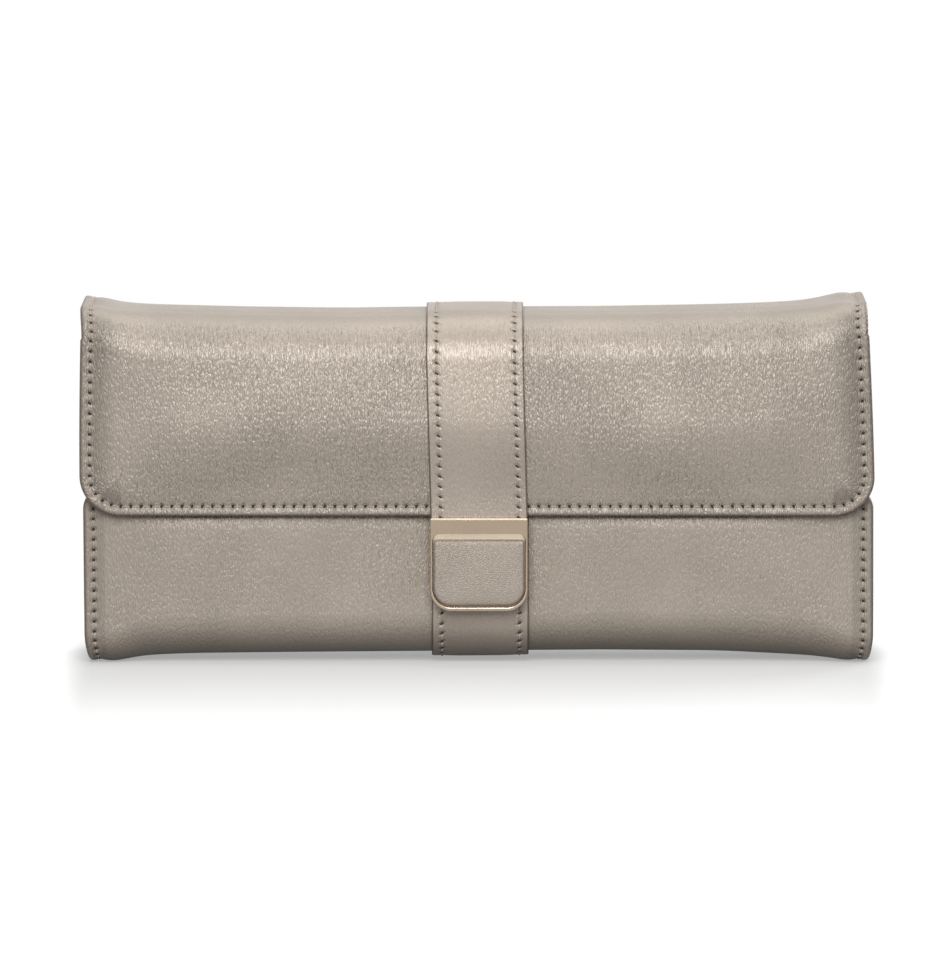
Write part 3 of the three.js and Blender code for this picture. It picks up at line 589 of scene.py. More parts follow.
@dataclass(frozen=True)
class Leather(Finish):
    """Pearl-coated leather, softly grained, with painted shade at its needle holes, along its seams
    and on its rim.
    """

    grain: float = 0.3
    width: float = 0.62
    length: float = 2.1
    holes: bool = True
    slant: float = 0.08
    hole_width: float = 0.56
    hole_length: float = 0.15
    followed: bool = True
    cut_edge: bool = False
    # the strength of the painted shade beside and outside the seams and on the rolled rim
    painted_seam_shade: float = 0.62
    cloud: float = 24.0
    flat_patch: float = 38.0
    speck: float = 0.5
    # rim: painted shade on the covers' side-facing rolled rim, and the real dark edge dye on a
    # strap's cut edge
    rim: Colour = rgb(104, 90, 80)
    # deep: the near black of the needle holes, painted shade
    deep: Colour = rgb(40, 33, 29)

    def build(self, tree: Tree, shader: Inputs) -> None:
        """Feeds the material's shader."""
        surface = tree.attribute("flat") if self.followed else self.wrap(tree)
        values = {"Surface": surface, "Width": self.width, "Length": self.length}
        grain = tree.put("Group", values, node_tree=Effect.grain()).outputs
        speck, creased = tree.noise(surface, self.speck, 2.0, 0.6), self.shade(0.74)
        cloud = tree.span(tree.noise(surface, self.cloud, 3.0), 0.3, 0.7)
        colour = tree.mix(cloud, self.shade(0.94), self.shade(1.05))
        colour = tree.mix(tree.span(grain["Tone"], 0.0, 0.6, 0.3, 0.0), colour, creased)
        rough = tree.do("MULTIPLY_ADD", speck, 0.16, self.roughness - 0.08)
        lift, metal = grain["Height"], self.metallic
        if self.followed:
            colour, lift = self.paint_seam_shade(tree, surface, colour, lift)
        patch = tree.span(tree.noise(surface, self.flat_patch), 0.32, 0.68, 0.6, 1.0)
        normal = tree.bump(tree.times(lift, patch), self.grain)
        if self.holes:
            values = {"Seam": tree.attribute("seam"), "Slant": self.slant,
                      "Half Width": self.hole_width, "Half Length": self.hole_length}
            hole, pull = tree.put("Group", values, node_tree=Effect.pits()).outputs
            # painted shade: a darker dimple round each needle hole, and a near black hole
            colour = tree.mix(tree.times(pull, 0.25), colour, creased)
            colour = tree.mix(tree.times(hole, 0.97), colour, self.deep)
            rough = tree.do("MAXIMUM", rough, tree.times(hole, 0.9))
            normal = tree.bump(tree.times(pull, -1.0), 0.25, 0.8, normal)
            metal = tree.do("MULTIPLY_ADD", hole, -self.metallic, self.metallic)
        if self.cut_edge:
            worn = tree.do("MULTIPLY_ADD", speck, 0.2, -0.1)
            cut = tree.do("ADD", tree.split(tree.attribute("edge"))[0], worn)
            colour = tree.mix(tree.span(cut, 0.32, 0.55, 1.0, 0.0), colour, self.rim)
        for key, value in {"Metallic": metal, "Base Color": colour, "Roughness": rough,
                           "Normal": normal}.items():
            tree.feed(shader[key], value)

    @staticmethod
    def wrap(tree: Tree) -> Socket:
        """Returns a flat place for leather that isn't unrolled, so that every face has grain."""
        x, y, z = tree.split(tree.place())
        return tree.join(tree.do("MULTIPLY_ADD", y, 0.9, x), tree.do("MULTIPLY_ADD", y, 0.8, z))

    def paint_seam_shade(self, tree: Tree, surface: Socket, colour: Socket,
            lift: Socket) -> tuple[Socket, Socket]:
        """Paints shade beside and outside the seam and on the rolled rim, and smooths the grain
        over a fold.

        Args:
            tree: the material's tree.
            surface: the place on the unrolled leather, with its side of the roll as third part.
            colour: the colour so far.
            lift: the height of the grain so far.

        Returns:
            The new colour and height.
        """
        inset, _, fold = tree.split(tree.attribute("seam"))
        side = tree.split(surface)[2]
        band = tree.times(tree.span(inset, 3.0, 4.6), tree.span(inset, 5.0, 12.0, 1.0, 0.0))
        band = tree.times(band, tree.do("SUBTRACT", 1.0, fold))
        beside, dark = tree.times(band, tree.times(side, side)), self.shade(0.5)
        outside = tree.span(inset, 1.7, 2.6, 1.0, 0.0)
        edge = tree.span(inset, 0.1, 1.3, 1.0, 0.0)
        rim = (edge, 1.5, self.rim)
        # painted shade: the padding's slope beside a side seam, the band outside the seam and the
        # rolled rim
        for where, strength, tint in ((beside, 1.0, dark), (outside, 0.5, dark), rim):
            colour = tree.mix(tree.times(where, self.painted_seam_shade * strength), colour, tint)
        return colour, tree.times(lift, tree.span(fold, 0.0, 1.0, 1.0, 0.2))


@dataclass(frozen=True)
class PaintedEdge(Finish):
    """The sealed cut edge of a strap or tab under dark paint, rubbed lighter in places."""

    def build(self, tree: Tree, shader: Inputs) -> None:
        """Feeds the material's shader."""
        surface = tree.place()
        worn = tree.span(tree.noise(surface, 1.4, 3.0), 0.45, 0.75)
        tree.feed(shader["Base Color"], tree.mix(worn, self.colour, self.shade(1.7)))
        tree.feed(shader["Normal"], tree.bump(tree.noise(surface, 0.6, 3.0), 0.06))


@dataclass(frozen=True)
class Suede(Finish):
    """Brushed suede: short fibre, soft patches where it was stroked, a dull sheen."""

    fibre: float = 0.35
    followed: bool = True

    def build(self, tree: Tree, shader: Inputs) -> None:
        """Feeds the material's shader."""
        surface = tree.attribute("flat") if self.followed else tree.place()
        values = {"Surface": surface, "Fibre": self.fibre}
        nap = tree.put("Group", values, node_tree=Effect.nap()).outputs
        colour = tree.mix(nap["Patch"], self.shade(0.84), self.colour)
        colour = tree.mix(tree.times(nap["Fleck"], 0.6), colour, self.shade(1.06))
        tree.feed(shader["Base Color"], colour)
        tree.feed(shader["Normal"], tree.bump(nap["Height"], 0.12))
        shader["Sheen Weight"].default_value = 0.35
        shader["Sheen Roughness"].default_value = 0.5
        shader["Specular IOR Level"].default_value = 0.2


@dataclass(frozen=True)
class Metal(Finish):
    """Plated metal, or matte moulded plastic, with a faint haze from handling."""

    haze: float = 0.1

    def build(self, tree: Tree, shader: Inputs) -> None:
        """Feeds the material's shader."""
        haze = tree.put("Group", {"Surface": tree.place()}, node_tree=Effect.scuff()).outputs[0]
        tree.feed(shader["Base Color"], tree.mix(haze, self.colour, self.shade(0.93)))
        tree.feed(shader["Roughness"], tree.do("MULTIPLY_ADD", haze, self.haze, self.roughness))


@dataclass(frozen=True)
class Thread(Finish):
    """Waxed sewing thread of two twisted plies."""

    def build(self, tree: Tree, shader: Inputs) -> None:
        """Feeds the material's shader."""
        x, turned, _ = tree.split(tree.attribute("flat"))
        twist = tree.do("MULTIPLY_ADD", x, 15.0, turned)
        ply = tree.span(tree.do("SINE", twist), -1.0, 1.0)
        tree.feed(shader["Base Color"], tree.mix(ply, self.shade(0.7), self.colour))
        tree.feed(shader["Normal"], tree.bump(ply, 0.06))


@dataclass(frozen=True)
class Fabric(Finish):
    """Woven tape or fibre board: crossed yarns of a given width."""

    yarn: float = 0.3

    def build(self, tree: Tree, shader: Inputs) -> None:
        """Feeds the material's shader."""
        surface = tree.place()
        x, _, z = tree.split(surface)
        warp, weft = (tree.do("SINE", tree.times(part, FULL / self.yarn)) for part in (x, z))
        weave = tree.span(tree.times(warp, weft), -1.0, 1.0)
        shade = tree.do("MULTIPLY_ADD", tree.noise(surface, 3.0, 3.0), 0.4, tree.times(weave, 0.7))
        tree.feed(shader["Base Color"], tree.mix(shade, self.shade(0.72), self.colour))
        tree.feed(shader["Normal"], tree.bump(weave, 0.07))


PEWTER = Leather("pewter_leather", rgb(170, 159, 147), 0.42, 0.25)
STRAP_LEATHER = Leather("strap_leather", rgb(173, 161, 149), 0.4, 0.25, grain=0.15, slant=0.15,
                        hole_width=0.62, hole_length=0.12, painted_seam_shade=0.0, cut_edge=True)
INLAY_LEATHER = Leather("inlay_leather", rgb(169, 157, 145), 0.44, 0.2, grain=0.16, width=0.5,
                        length=0.6, holes=False, followed=False)
INNER_LEATHER = Leather("inner_leather", rgb(170, 159, 147), 0.42, 0.25, grain=0.2, holes=False,
                        followed=False)
EDGE_PAINT = PaintedEdge("edge_paint", rgb(92, 80, 70), 0.5)
LINING = Suede("suede_lining", rgb(150, 139, 129), 0.95)
BAR_SUEDE = Suede("suede_bar", rgb(150, 139, 129), 0.95, followed=False)
GOLD = Metal("pale_gold", rgb(228, 212, 192), 0.16, 1.0)
# a darker copy of the gold for the clasp's front face and slab: a rougher satin face, and painted
# shade in its darker colour
SHADED_SATIN_GOLD = Metal("satin_gold", rgb(176, 157, 138), 0.22, 1.0, haze=0.03)
STEEL = Metal("magnet_steel", rgb(176, 176, 174), 0.22, 1.0)
PLASTIC = Metal("moulded_plastic", rgb(206, 200, 188), 0.5)
THREAD = Thread("waxed_thread", rgb(188, 178, 163), 0.5)
TAPE = Fabric("zip_tape", rgb(120, 108, 96), 0.85, yarn=0.5)
BOARD = Fabric("fibre_board", rgb(156, 140, 115), 0.95, yarn=1.6)


def line_up(piece: Piece, *finishes: Finish) -> None:
    """Gives a piece more finishes, each in a slot of its own."""
    for finish in finishes:
        piece.data.materials.append(finish.material())


class Leg(Enum):
    """The parts of a fold's section, from its upright panel to its level panel."""

    END = "end"
    UPRIGHT = "upright"
    ARC = "arc"
    LEVEL = "level"


STANDING = (Leg.END, Leg.UPRIGHT)


@cache
def eased(line: tuple) -> tuple[np.ndarray, np.ndarray]:
    """Returns a measured line as close steps with its corners eased."""
    past_end, step, reach = 120, 0.5, 2.6
    places, heights = (np.array(values, float) for values in zip(*line))
    steps = np.arange(-past_end, past_end + 0.1, step)
    near = [np.interp(steps + shift, places, heights) for shift in np.linspace(-reach, reach, 7)]
    return steps, np.mean(near, axis=0)


@dataclass(frozen=True)
class Form:
    """The closed roll's measured sizes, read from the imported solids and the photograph."""

    back_face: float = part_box("cover_back")[1].y / MM
    flap_face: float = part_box("cover_flap")[0].y / MM
    front_face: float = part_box("cover_front")[0].y / MM
    flap_edge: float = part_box("cover_flap")[0].z / MM
    front_edge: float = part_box("cover_front")[1].z / MM
    middle_radius: float = 13.0
    ear_radius: float = 10.0
    ear_start: float = 96.0
    ear_run: float = 16.0
    panel: float = 4.1
    strap_reach: float = 19.0
    top_line: tuple = (
        (-117, 106.8), (-112.6, 106.9), (-110.5, 106.3), (-108.5, 105.6), (-106, 105.0),
        (-101, 104.5), (-92, 104.1), (-68, 103.5), (-38, 103.1), (-20, 103.4), (0, 103.5),
        (36, 103.6), (66, 104.1), (81, 104.5), (90, 104.9), (96, 105.3), (101, 105.9),
        (105, 106.7), (108.5, 107.5), (111.5, 107.9), (117, 108.0))
    bottom_line: tuple = (
        (-117, 0), (-109, 0), (-106, 0.35), (-100, 1.3), (-92, 1.8), (-82, 2.1), (-52, 2.4),
        (-14, 2.7), (15, 2.95), (36, 3.1), (66, 2.9), (74, 2.7), (82, 2.3), (92, 1.8),
        (100, 1.25), (106, 0.7), (109, 0.15), (111, 0), (117, 0))

    def level(self, x: float, up: int) -> float:
        """Returns the height of the top panel, or of the bottom panel where up is -1."""
        return float(np.interp(x, *eased(self.top_line if up > 0 else self.bottom_line)))

    def radius(self, x: float) -> float:
        """Returns the outer radius of a fold, which is tighter at the ears."""
        ear = smooth((abs(x) - self.ear_start) / self.ear_run)
        return self.middle_radius + (self.ear_radius - self.middle_radius) * ear


FORM = Form()


@dataclass(frozen=True)
class Ring:
    """One line along a layer's edge: its distance from the edge, flat place and depth."""

    inset: float
    nominal: float
    depth: float


@dataclass(frozen=True)
class Layer:
    """How a layer is shaped near its sewn edge, from the edge inwards."""

    line: float = 3.0
    crest: float = 0.4
    groove: float = 0.95
    shoulder: float = 9.0
    turn: float = 3.3
    edge_radius: float = 1.05
    face: float = 0.0
    inner: bool = False
    per_stitch: int = 4
    pit: float = 0.3
    dent_from: float = 1.4
    fade: float = 9.0
    seam_width: float = 0.42
    hole_length: float = 0.13
    bulge: float = 0.22
    bulge_width: float = 1.3

    def profile(self, inset: float) -> float:
        """Returns the depth of the face at a distance from the edge."""
        if inset <= self.line:
            share = smooth((inset - 1.9) / (self.line - 1.9))
            return self.face + self.crest + (self.groove - self.crest) * share
        if inset >= self.shoulder:
            return self.face
        share = 1 - (inset - self.line) / (self.shoulder - self.line)
        return self.face + self.groove * share ** 2.2

    def rings(self, corner: float, steps: int) -> list[Ring]:
        """Returns the lines from the hidden turned edge, round the rim, to the corner radius.

        Args:
            corner: the radius of the panel's corner.
            steps: the equal steps between the seam line and the corner radius.

        Returns:
            The lines, in order.
        """
        pitch = (corner - self.line) / steps
        insets = [self.line - 0.75, self.line - 0.38, self.line, self.line + 0.45 * pitch]
        insets += [self.line + pitch * step for step in range(1, steps + 1)]
        if self.inner:
            edge = [(2.0, 0.55), (2.02, 0.3), (2.12, 0.1)]
            start = [Ring(a, a - 0.5 * deep, self.face + self.crest - deep) for a, deep in edge]
            return start + [Ring(a, a, self.profile(a)) for a in insets if a > 2.13]
        radius, flat = self.edge_radius, self.turn - self.crest - 2 * self.edge_radius
        under = radius - QUARTER * radius - flat
        hidden = [(4.2, 3.2), (2.3, 1.3)]
        start = [Ring(a, under - QUARTER * radius - run, self.turn) for a, run in hidden]
        turns = [QUARTER * step / 6 for step in range(6, -1, -1)]
        gaps = [radius * (1 - math.sin(turn)) for turn in turns]
        start += [Ring(gap, under - radius * turn, self.turn - gap)
                  for turn, gap in zip(turns, gaps)]
        start += [Ring(gap, radius - radius * turn, self.crest + radius * (1 - math.cos(turn)))
                  for turn, gap in zip(turns, gaps)]
        return start + [Ring(a, a, self.profile(a)) for a in insets if a > radius + 0.25]

    def dent(self, inset: float, stitch: float) -> float:
        """Returns how far a stitch pulls the face in, with a small bulge between holes."""
        off = inset - self.line
        hole = peak(off / self.seam_width) * peak((stitch - round(stitch)) / self.hole_length)
        between = self.bulge * peak(off / self.bulge_width) * math.cos(FULL * stitch)
        return self.pit * (hole + between)


def stitch_rows(counts: Iterable[int], per_stitch: int, counted: float = 0.0,
                joined: bool = False) -> list[tuple[Leg, float, float]]:
    """Lists the rows over a fold.

    Args:
        counts: the stitches on the upright part, the arc and the level part.
        per_stitch: the rows for each stitch.
        counted: the stitches before the first row.
        joined: whether other rows end where these start.

    Returns:
        Each row's part, its share of that part and its stitch count.
    """
    rows = []
    for leg, count in zip((Leg.UPRIGHT, Leg.ARC, Leg.LEVEL), counts):
        steps = count * per_stitch
        first = 0 if leg is Leg.UPRIGHT and not joined else 1
        rows += [(leg, step / steps, counted + step / per_stitch)
                 for step in range(first, steps + 1)]
        counted += count
    return rows


@dataclass(frozen=True)
class Crease:
    """One fold of the roll, from a place on its upright panel to one on its level panel."""

    title: str
    bodies: tuple[str, str]
    panels: tuple[str, ...]
    face: float
    out: int
    up: int
    start: float
    split: float
    halves: tuple[float, float]
    centres: tuple[float, float]
    stitches: tuple[int, int, int]
    strap_stitches: tuple[int, int, int]
    strap_centres: tuple[float, float]
    strap_start: float = 0.0
    corner: float = 0.0
    corner_stitches: int = 0
    end_stitches: int = 0
    waist: float = 0.0
    crown: float = 0.7
    apex: float = 20.0
    spread: float = 36.0
    press: float = 0.55
    margin: float = 3.0
    side_fade: float = 30.0
    edge_fade: float = 12.0
    level_swell: float = 0.35
    wave: float = 0.22
    wave_lengths: tuple[float, float] = (23.0, 13.0)
    ripple: float = 0.11
    ripple_lengths: tuple[float, float] = (11.5, 17.0)
    calm: float = 0.0
    flat_start: float = 0.0
    flat_sign: int = 1

    def nodes(self, kind: str, panels: Sequence[str] = ()) -> list[str]:
        """Returns the CAD nodes of one kind on the fold's panels, or on some of them."""
        return [f"{kind}_{panel}" for panel in self.panels if panel in (panels or self.panels)]

    def level(self, x: float) -> float:
        """Returns the height of the level panel's outer face."""
        return FORM.level(x, self.up)

    def upright(self) -> float:
        """Returns the height of the upright panel, up to the bend."""
        return abs(self.level(0) - self.up * FORM.middle_radius - self.start)

    def swell(self, x: float, leg: Leg, share: float) -> float:
        """Returns how far the padded face stands out, with slow dips and rises."""
        if leg in STANDING:
            below = self.upright() * (1 - share)
        else:
            below = -FORM.middle_radius * QUARTER * share if leg is Leg.ARC else -99.0
        side = smooth((self.halves[0] - abs(x) - self.margin) / self.side_fade)
        strap = peak(x / FORM.strap_reach, 4)
        bump = max(1 - ((below - self.apex) / self.spread) ** 2, 0.0) ** 2
        wide, tall = self.wave_lengths
        across = self.wave * math.sin(x / wide + 0.9 + 1.3 * self.up)
        slow = 1 + across * math.sin(below / tall + 0.5)
        wide, tall = self.ripple_lengths
        slow += self.ripple * math.sin(x / wide + below / tall + 2.0 + self.out)
        edge, level = 1.0, 0.0
        if self.corner:
            edge = smooth((self.upright() - below - self.margin) / self.edge_fade)
        if leg is Leg.LEVEL:
            level = self.level_swell * smooth(share * 2.5) * (1 - 0.5 * strap)
        return (self.crown * bump * slow * edge * (1 - self.press * strap) + level) * side

    def spot(self, x: float, leg: Leg, share: float, depth: float) -> Spot:
        """Returns the place of a layer's point.

        Args:
            x: the place across the roll.
            leg: the part of the section.
            share: how far along that part, from 0 to 1, or the distance from the free end.
            depth: how far inside the outer face.

        Returns:
            The place in millimetres.
        """
        radius, level = FORM.radius(x), self.level(x)
        turn_y, turn_z = self.face - self.out * radius, level - self.up * radius
        if leg is Leg.END:
            return x, self.face - self.out * depth, self.start + self.up * share
        if leg is Leg.UPRIGHT:
            low = self.start + self.up * self.corner
            return x, self.face - self.out * depth, low + (turn_z - low) * share
        if leg is Leg.ARC:
            turn, reach = QUARTER * share, radius - depth
            return (x, turn_y + self.out * reach * math.cos(turn),
                    turn_z + self.up * reach * math.sin(turn))
        return x, turn_y + (self.split - turn_y) * share, level - self.up * depth

    def run(self, leg: Leg, share: float) -> float:
        """Returns the unrolled place along the fold, for patterns that follow it."""
        radius, upright = FORM.middle_radius, self.upright()
        if leg is Leg.END:
            run = share
        elif leg is Leg.UPRIGHT:
            run = self.corner + (upright - self.corner) * share
        elif leg is Leg.ARC:
            run = upright + radius * QUARTER * share
        else:
            level = abs(self.face - self.out * radius - self.split)
            run = upright + radius * QUARTER + level * share
        return self.flat_start + self.flat_sign * run

    def half(self, leg: Leg, share: float, travel: float) -> float:
        """Returns the half width, which may narrow towards the bend."""
        waist = self.waist or self.halves[0]
        if leg in STANDING:
            return self.halves[0] + (waist - self.halves[0]) * max(travel - 0.15, 0) ** 1.6
        if leg is Leg.LEVEL:
            return self.halves[1]
        return waist + (self.halves[1] - waist) * smooth(share)

    def centre(self, leg: Leg, share: float, travel: float) -> float:
        """Returns how far the middle of the roll leans to one side."""
        first, last = self.centres
        if leg in STANDING:
            return first + 0.72 * (last - first) * travel
        return last if leg is Leg.LEVEL else last + 0.28 * (first - last) * (1 - smooth(share))

    def turning(self, leg: Leg, share: float) -> float:
        """Returns how much a place belongs to the bend, from 0 to 1."""
        if leg is Leg.ARC:
            return self.calm + (1 - self.calm) * smooth((share - 0.3) / 0.5)
        return 1 - 0.6 * smooth(share * 1.4) if leg is Leg.LEVEL else self.calm

    def ends(self, inner: bool = False) -> tuple[tuple, tuple]:
        """Returns where the bend starts and ends."""
        radius, depth, shift = FORM.middle_radius, *((FORM.panel, 0.0) if inner else (0.0, 2.0))
        level = self.level(0)
        start = (0, (self.face - self.out * depth) * MM, (level - self.up * (radius - shift)) * MM)
        end = (0, (self.face - self.out * (radius - shift / 2)) * MM,
               (level - self.up * (depth - shift / 2)) * MM)
        return start, end


TOP_SPLIT = 2.1
BACK_SPLIT = 53.3
BOTTOM_SPLIT = 1.4

CREASES = (
    Crease("flap_top", ("flap", "top"), ("flap", "top"), FORM.flap_face, -1, 1, FORM.flap_edge,
           TOP_SPLIT, (116.9, 115.7), (0.05, -1.15), (13, 5, 5), (15, 7, 4), (0.45, -0.8),
           waist=115.4, corner=12, corner_stitches=5, end_stitches=35, crown=3.9, apex=30.0,
           spread=50.0, press=0.4, edge_fade=26.0),
    Crease("back_top", ("back", "top"), ("back",), FORM.back_face, 1, 1, BACK_SPLIT, TOP_SPLIT,
           (116.3, 115.7), (-0.1, -1.15), (14, 5, 4), (12, 7, 3), (0.4, -0.8), flat_start=143.1,
           flat_sign=-1),
    Crease("back_bottom", ("back", "bottom"), ("bottom",), FORM.back_face, 1, -1, BACK_SPLIT,
           BOTTOM_SPLIT, (116.5, 115.3), (-0.1, 0.45), (14, 5, 4), (12, 7, 3), (0.4, 0.8),
           flat_start=143.1),
    Crease("front_bottom", ("front", "bottom"), ("front",), FORM.front_face, -1, -1,
           FORM.front_edge, BOTTOM_SPLIT, (116.4, 115.3), (0.15, 0.45), (12, 5, 3), (9, 7, 2),
           (0.8, 0.8), strap_start=8.3, corner=6, corner_stitches=2, end_stitches=36, crown=0.9,
           apex=30.0, spread=36.0, edge_fade=7.0, calm=0.5, flat_start=275.3, flat_sign=-1),
)


@dataclass
class Cover:
    """One layer of one fold as a grid of points, with the seam that runs along its edges."""

    crease: Crease
    layer: Layer
    points: np.ndarray = field(init=False)
    flat: np.ndarray = field(init=False)
    seam: np.ndarray = field(init=False)
    rings: list[Ring] = field(init=False)
    free: bool = field(init=False)
    corner: float = field(init=False)
    width: float = field(init=False)
    closed_corner: float = 12.0
    closed_steps: int = 10
    half_columns: tuple = (0, 6, 12, 15, 20, 27, 35, 44, 53, 61, 68, 74, 79, 84, 88, 92, 95, 98,
                           100.5, 103)

    def __post_init__(self) -> None:
        """Works out the grid."""
        crease, layer = self.crease, self.layer
        self.free, self.corner = crease.corner > 0, crease.corner or self.closed_corner
        steps = crease.corner_stitches * layer.per_stitch // 2 if self.free else self.closed_steps
        self.rings = layer.rings(self.corner, max(steps, 2))
        self.width = crease.halves[0] - self.corner
        rows, columns = self.rows(), self.columns()
        shape = (3, len(rows), len(columns), 3)
        self.points, self.flat, self.seam = np.zeros(shape)
        for i, row in enumerate(rows):
            for j, column in enumerate(columns):
                self.points[i, j], self.flat[i, j], self.seam[i, j] = self.cell(*row, *column)

    def rows(self) -> list[tuple[Leg, float, int, float]]:
        """Returns each row's part of the section, place there, ring and stitch count."""
        crease, rows = self.crease, []
        if self.free:
            rows = [(Leg.END, ring.inset, index, 0.0) for index, ring in enumerate(self.rings)]
        counted = crease.end_stitches + crease.corner_stitches
        return rows + [(leg, share, len(self.rings), stitch) for leg, share, stitch in stitch_rows(
            crease.stitches, self.layer.per_stitch, counted, self.free)]

    def columns(self) -> list[tuple[int, int, float]]:
        """Returns each column's side of the roll, its ring and its place across the middle."""
        if self.free:
            count = self.crease.end_stitches * self.layer.per_stitch
            middle = [self.width * step / count for step in range(-count + 1, count)]
        else:
            half = [x for x in self.half_columns if x < self.width - 1]
            middle = [-x for x in half[:0:-1]] + half
        last = len(self.rings)
        return ([(-1, index, 0.0) for index in range(last)] + [(0, last, x) for x in middle]
                + [(1, index, 0.0) for index in range(last - 1, -1, -1)])

    def cell(self, leg: Leg, at: float, row_ring: int, stitch: float, side: int, column_ring: int,
             middle_x: float) -> tuple[tuple, tuple, tuple]:
        """Works out one point of the grid.

        Args:
            leg: the part of the fold's section.
            at: the share of that part, or the distance from the free end.
            row_ring: the ring that the row follows, or the number of rings past them.
            stitch: the row's stitch count.
            side: -1 or 1 on the rings of a side, else 0.
            column_ring: the ring that the column follows, or the number of rings past them.
            middle_x: the place across, between the rings of both sides.

        Returns:
            The place, the unrolled place and the seam numbers.
        """
        crease, layer, rings, last = self.crease, self.layer, self.rings, len(self.rings)
        ring = rings[min(row_ring, column_ring)] if min(row_ring, column_ring) < last else None
        travel = self.travel(leg, at)
        half = crease.half(leg, at, travel)
        run = crease.run(leg, rings[row_ring].nominal if row_ring < last else at)
        across, nominal_x = middle_x * (half - self.corner) / self.width, middle_x
        if side:
            across = side * (half - rings[column_ring].inset)
            nominal_x = side * (crease.halves[0] - rings[column_ring].nominal)
        if row_ring < last and column_ring < last:
            across, at, turned = self.round_corner(row_ring, column_ring, half)
            across *= side
            stitch = crease.end_stitches + turned * crease.corner_stitches
            travel = self.travel(leg, at)
        elif row_ring < last:
            stitch = abs(middle_x) / self.width * crease.end_stitches
        inset = ring.inset if ring else self.distance(across, half, leg, at)
        depth = ring.depth if ring else layer.profile(inset)
        if ring is None or ring.nominal >= layer.dent_from:
            depth += layer.dent(inset, stitch)
        if not layer.inner:
            depth -= crease.swell(across, leg, travel) * smooth((inset - layer.line) / layer.fade)
        x, y, z = crease.spot(across, leg, at, depth)
        shown = inset if ring is None or ring.nominal > 0 else 0.0
        return ((x + crease.centre(leg, at, travel), y, z), (nominal_x, run, side),
                (shown, stitch, crease.turning(leg, travel)))

    def travel(self, leg: Leg, at: float) -> float:
        """Returns how far up the upright panel a place is, or the part's own share."""
        if leg not in STANDING:
            return at
        return abs(self.crease.spot(0, leg, at, 0)[2] - self.crease.start) / self.crease.upright()

    def round_corner(self, row: int, column: int, half: float) -> Spot:
        """Bends the square corner of the grid round the panel's corner.

        Args:
            row: the ring of the point's row.
            column: the ring of the point's column.
            half: the panel's half width.

        Returns:
            The distance from the middle, the distance from the free end, and the stitch share.
        """
        ring, other = self.rings[min(row, column)], self.rings[max(row, column)].nominal
        leg = (self.corner - other) / max(self.corner - ring.nominal, 1e-6)
        turn = QUARTER / 2 * leg if row >= column else QUARTER - QUARTER / 2 * leg
        reach = self.corner - ring.inset
        across = half - self.corner + reach * math.cos(turn)
        return across, self.corner - reach * math.sin(turn), 1 - turn / QUARTER

    def distance(self, across: float, half: float, leg: Leg, at: float) -> float:
        """Returns the distance from the nearest sewn edge."""
        side = half - abs(across)
        if self.crease.corner and leg in STANDING:
            return min(side, abs(self.crease.spot(across, leg, at, 0)[2] - self.crease.start))
        return side

    def seam_paths(self) -> list[list[tuple[int, int]]]:
        """Returns the rows and columns that the seam follows, one list for each side."""
        last, count = self.points.shape[:2]
        column = int(np.argmin(np.abs(self.seam[-1, :len(self.rings), 0] - self.layer.line)))
        paths = []
        for side, edge in ((-1, column), (1, count - 1 - column)):
            path = [(column, j) for j in range(count // 2, edge, side)] if self.free else []
            paths.append(path + [(i, edge) for i in range(column if self.free else 0, last)])
        return paths

    def build(self, title: str, seam_title: str) -> Pair:
        """Returns the open sheet, turned to the side that is seen, and its stitches."""
        way = (0, 0, -self.crease.up if self.layer.inner else self.crease.up)
        piece = Bench.sheet(title, self.points, {"flat": self.flat, "seam": self.seam}, way)
        return piece, sew_grid(seam_title, self.points, self.seam, self.seam_paths(), way)


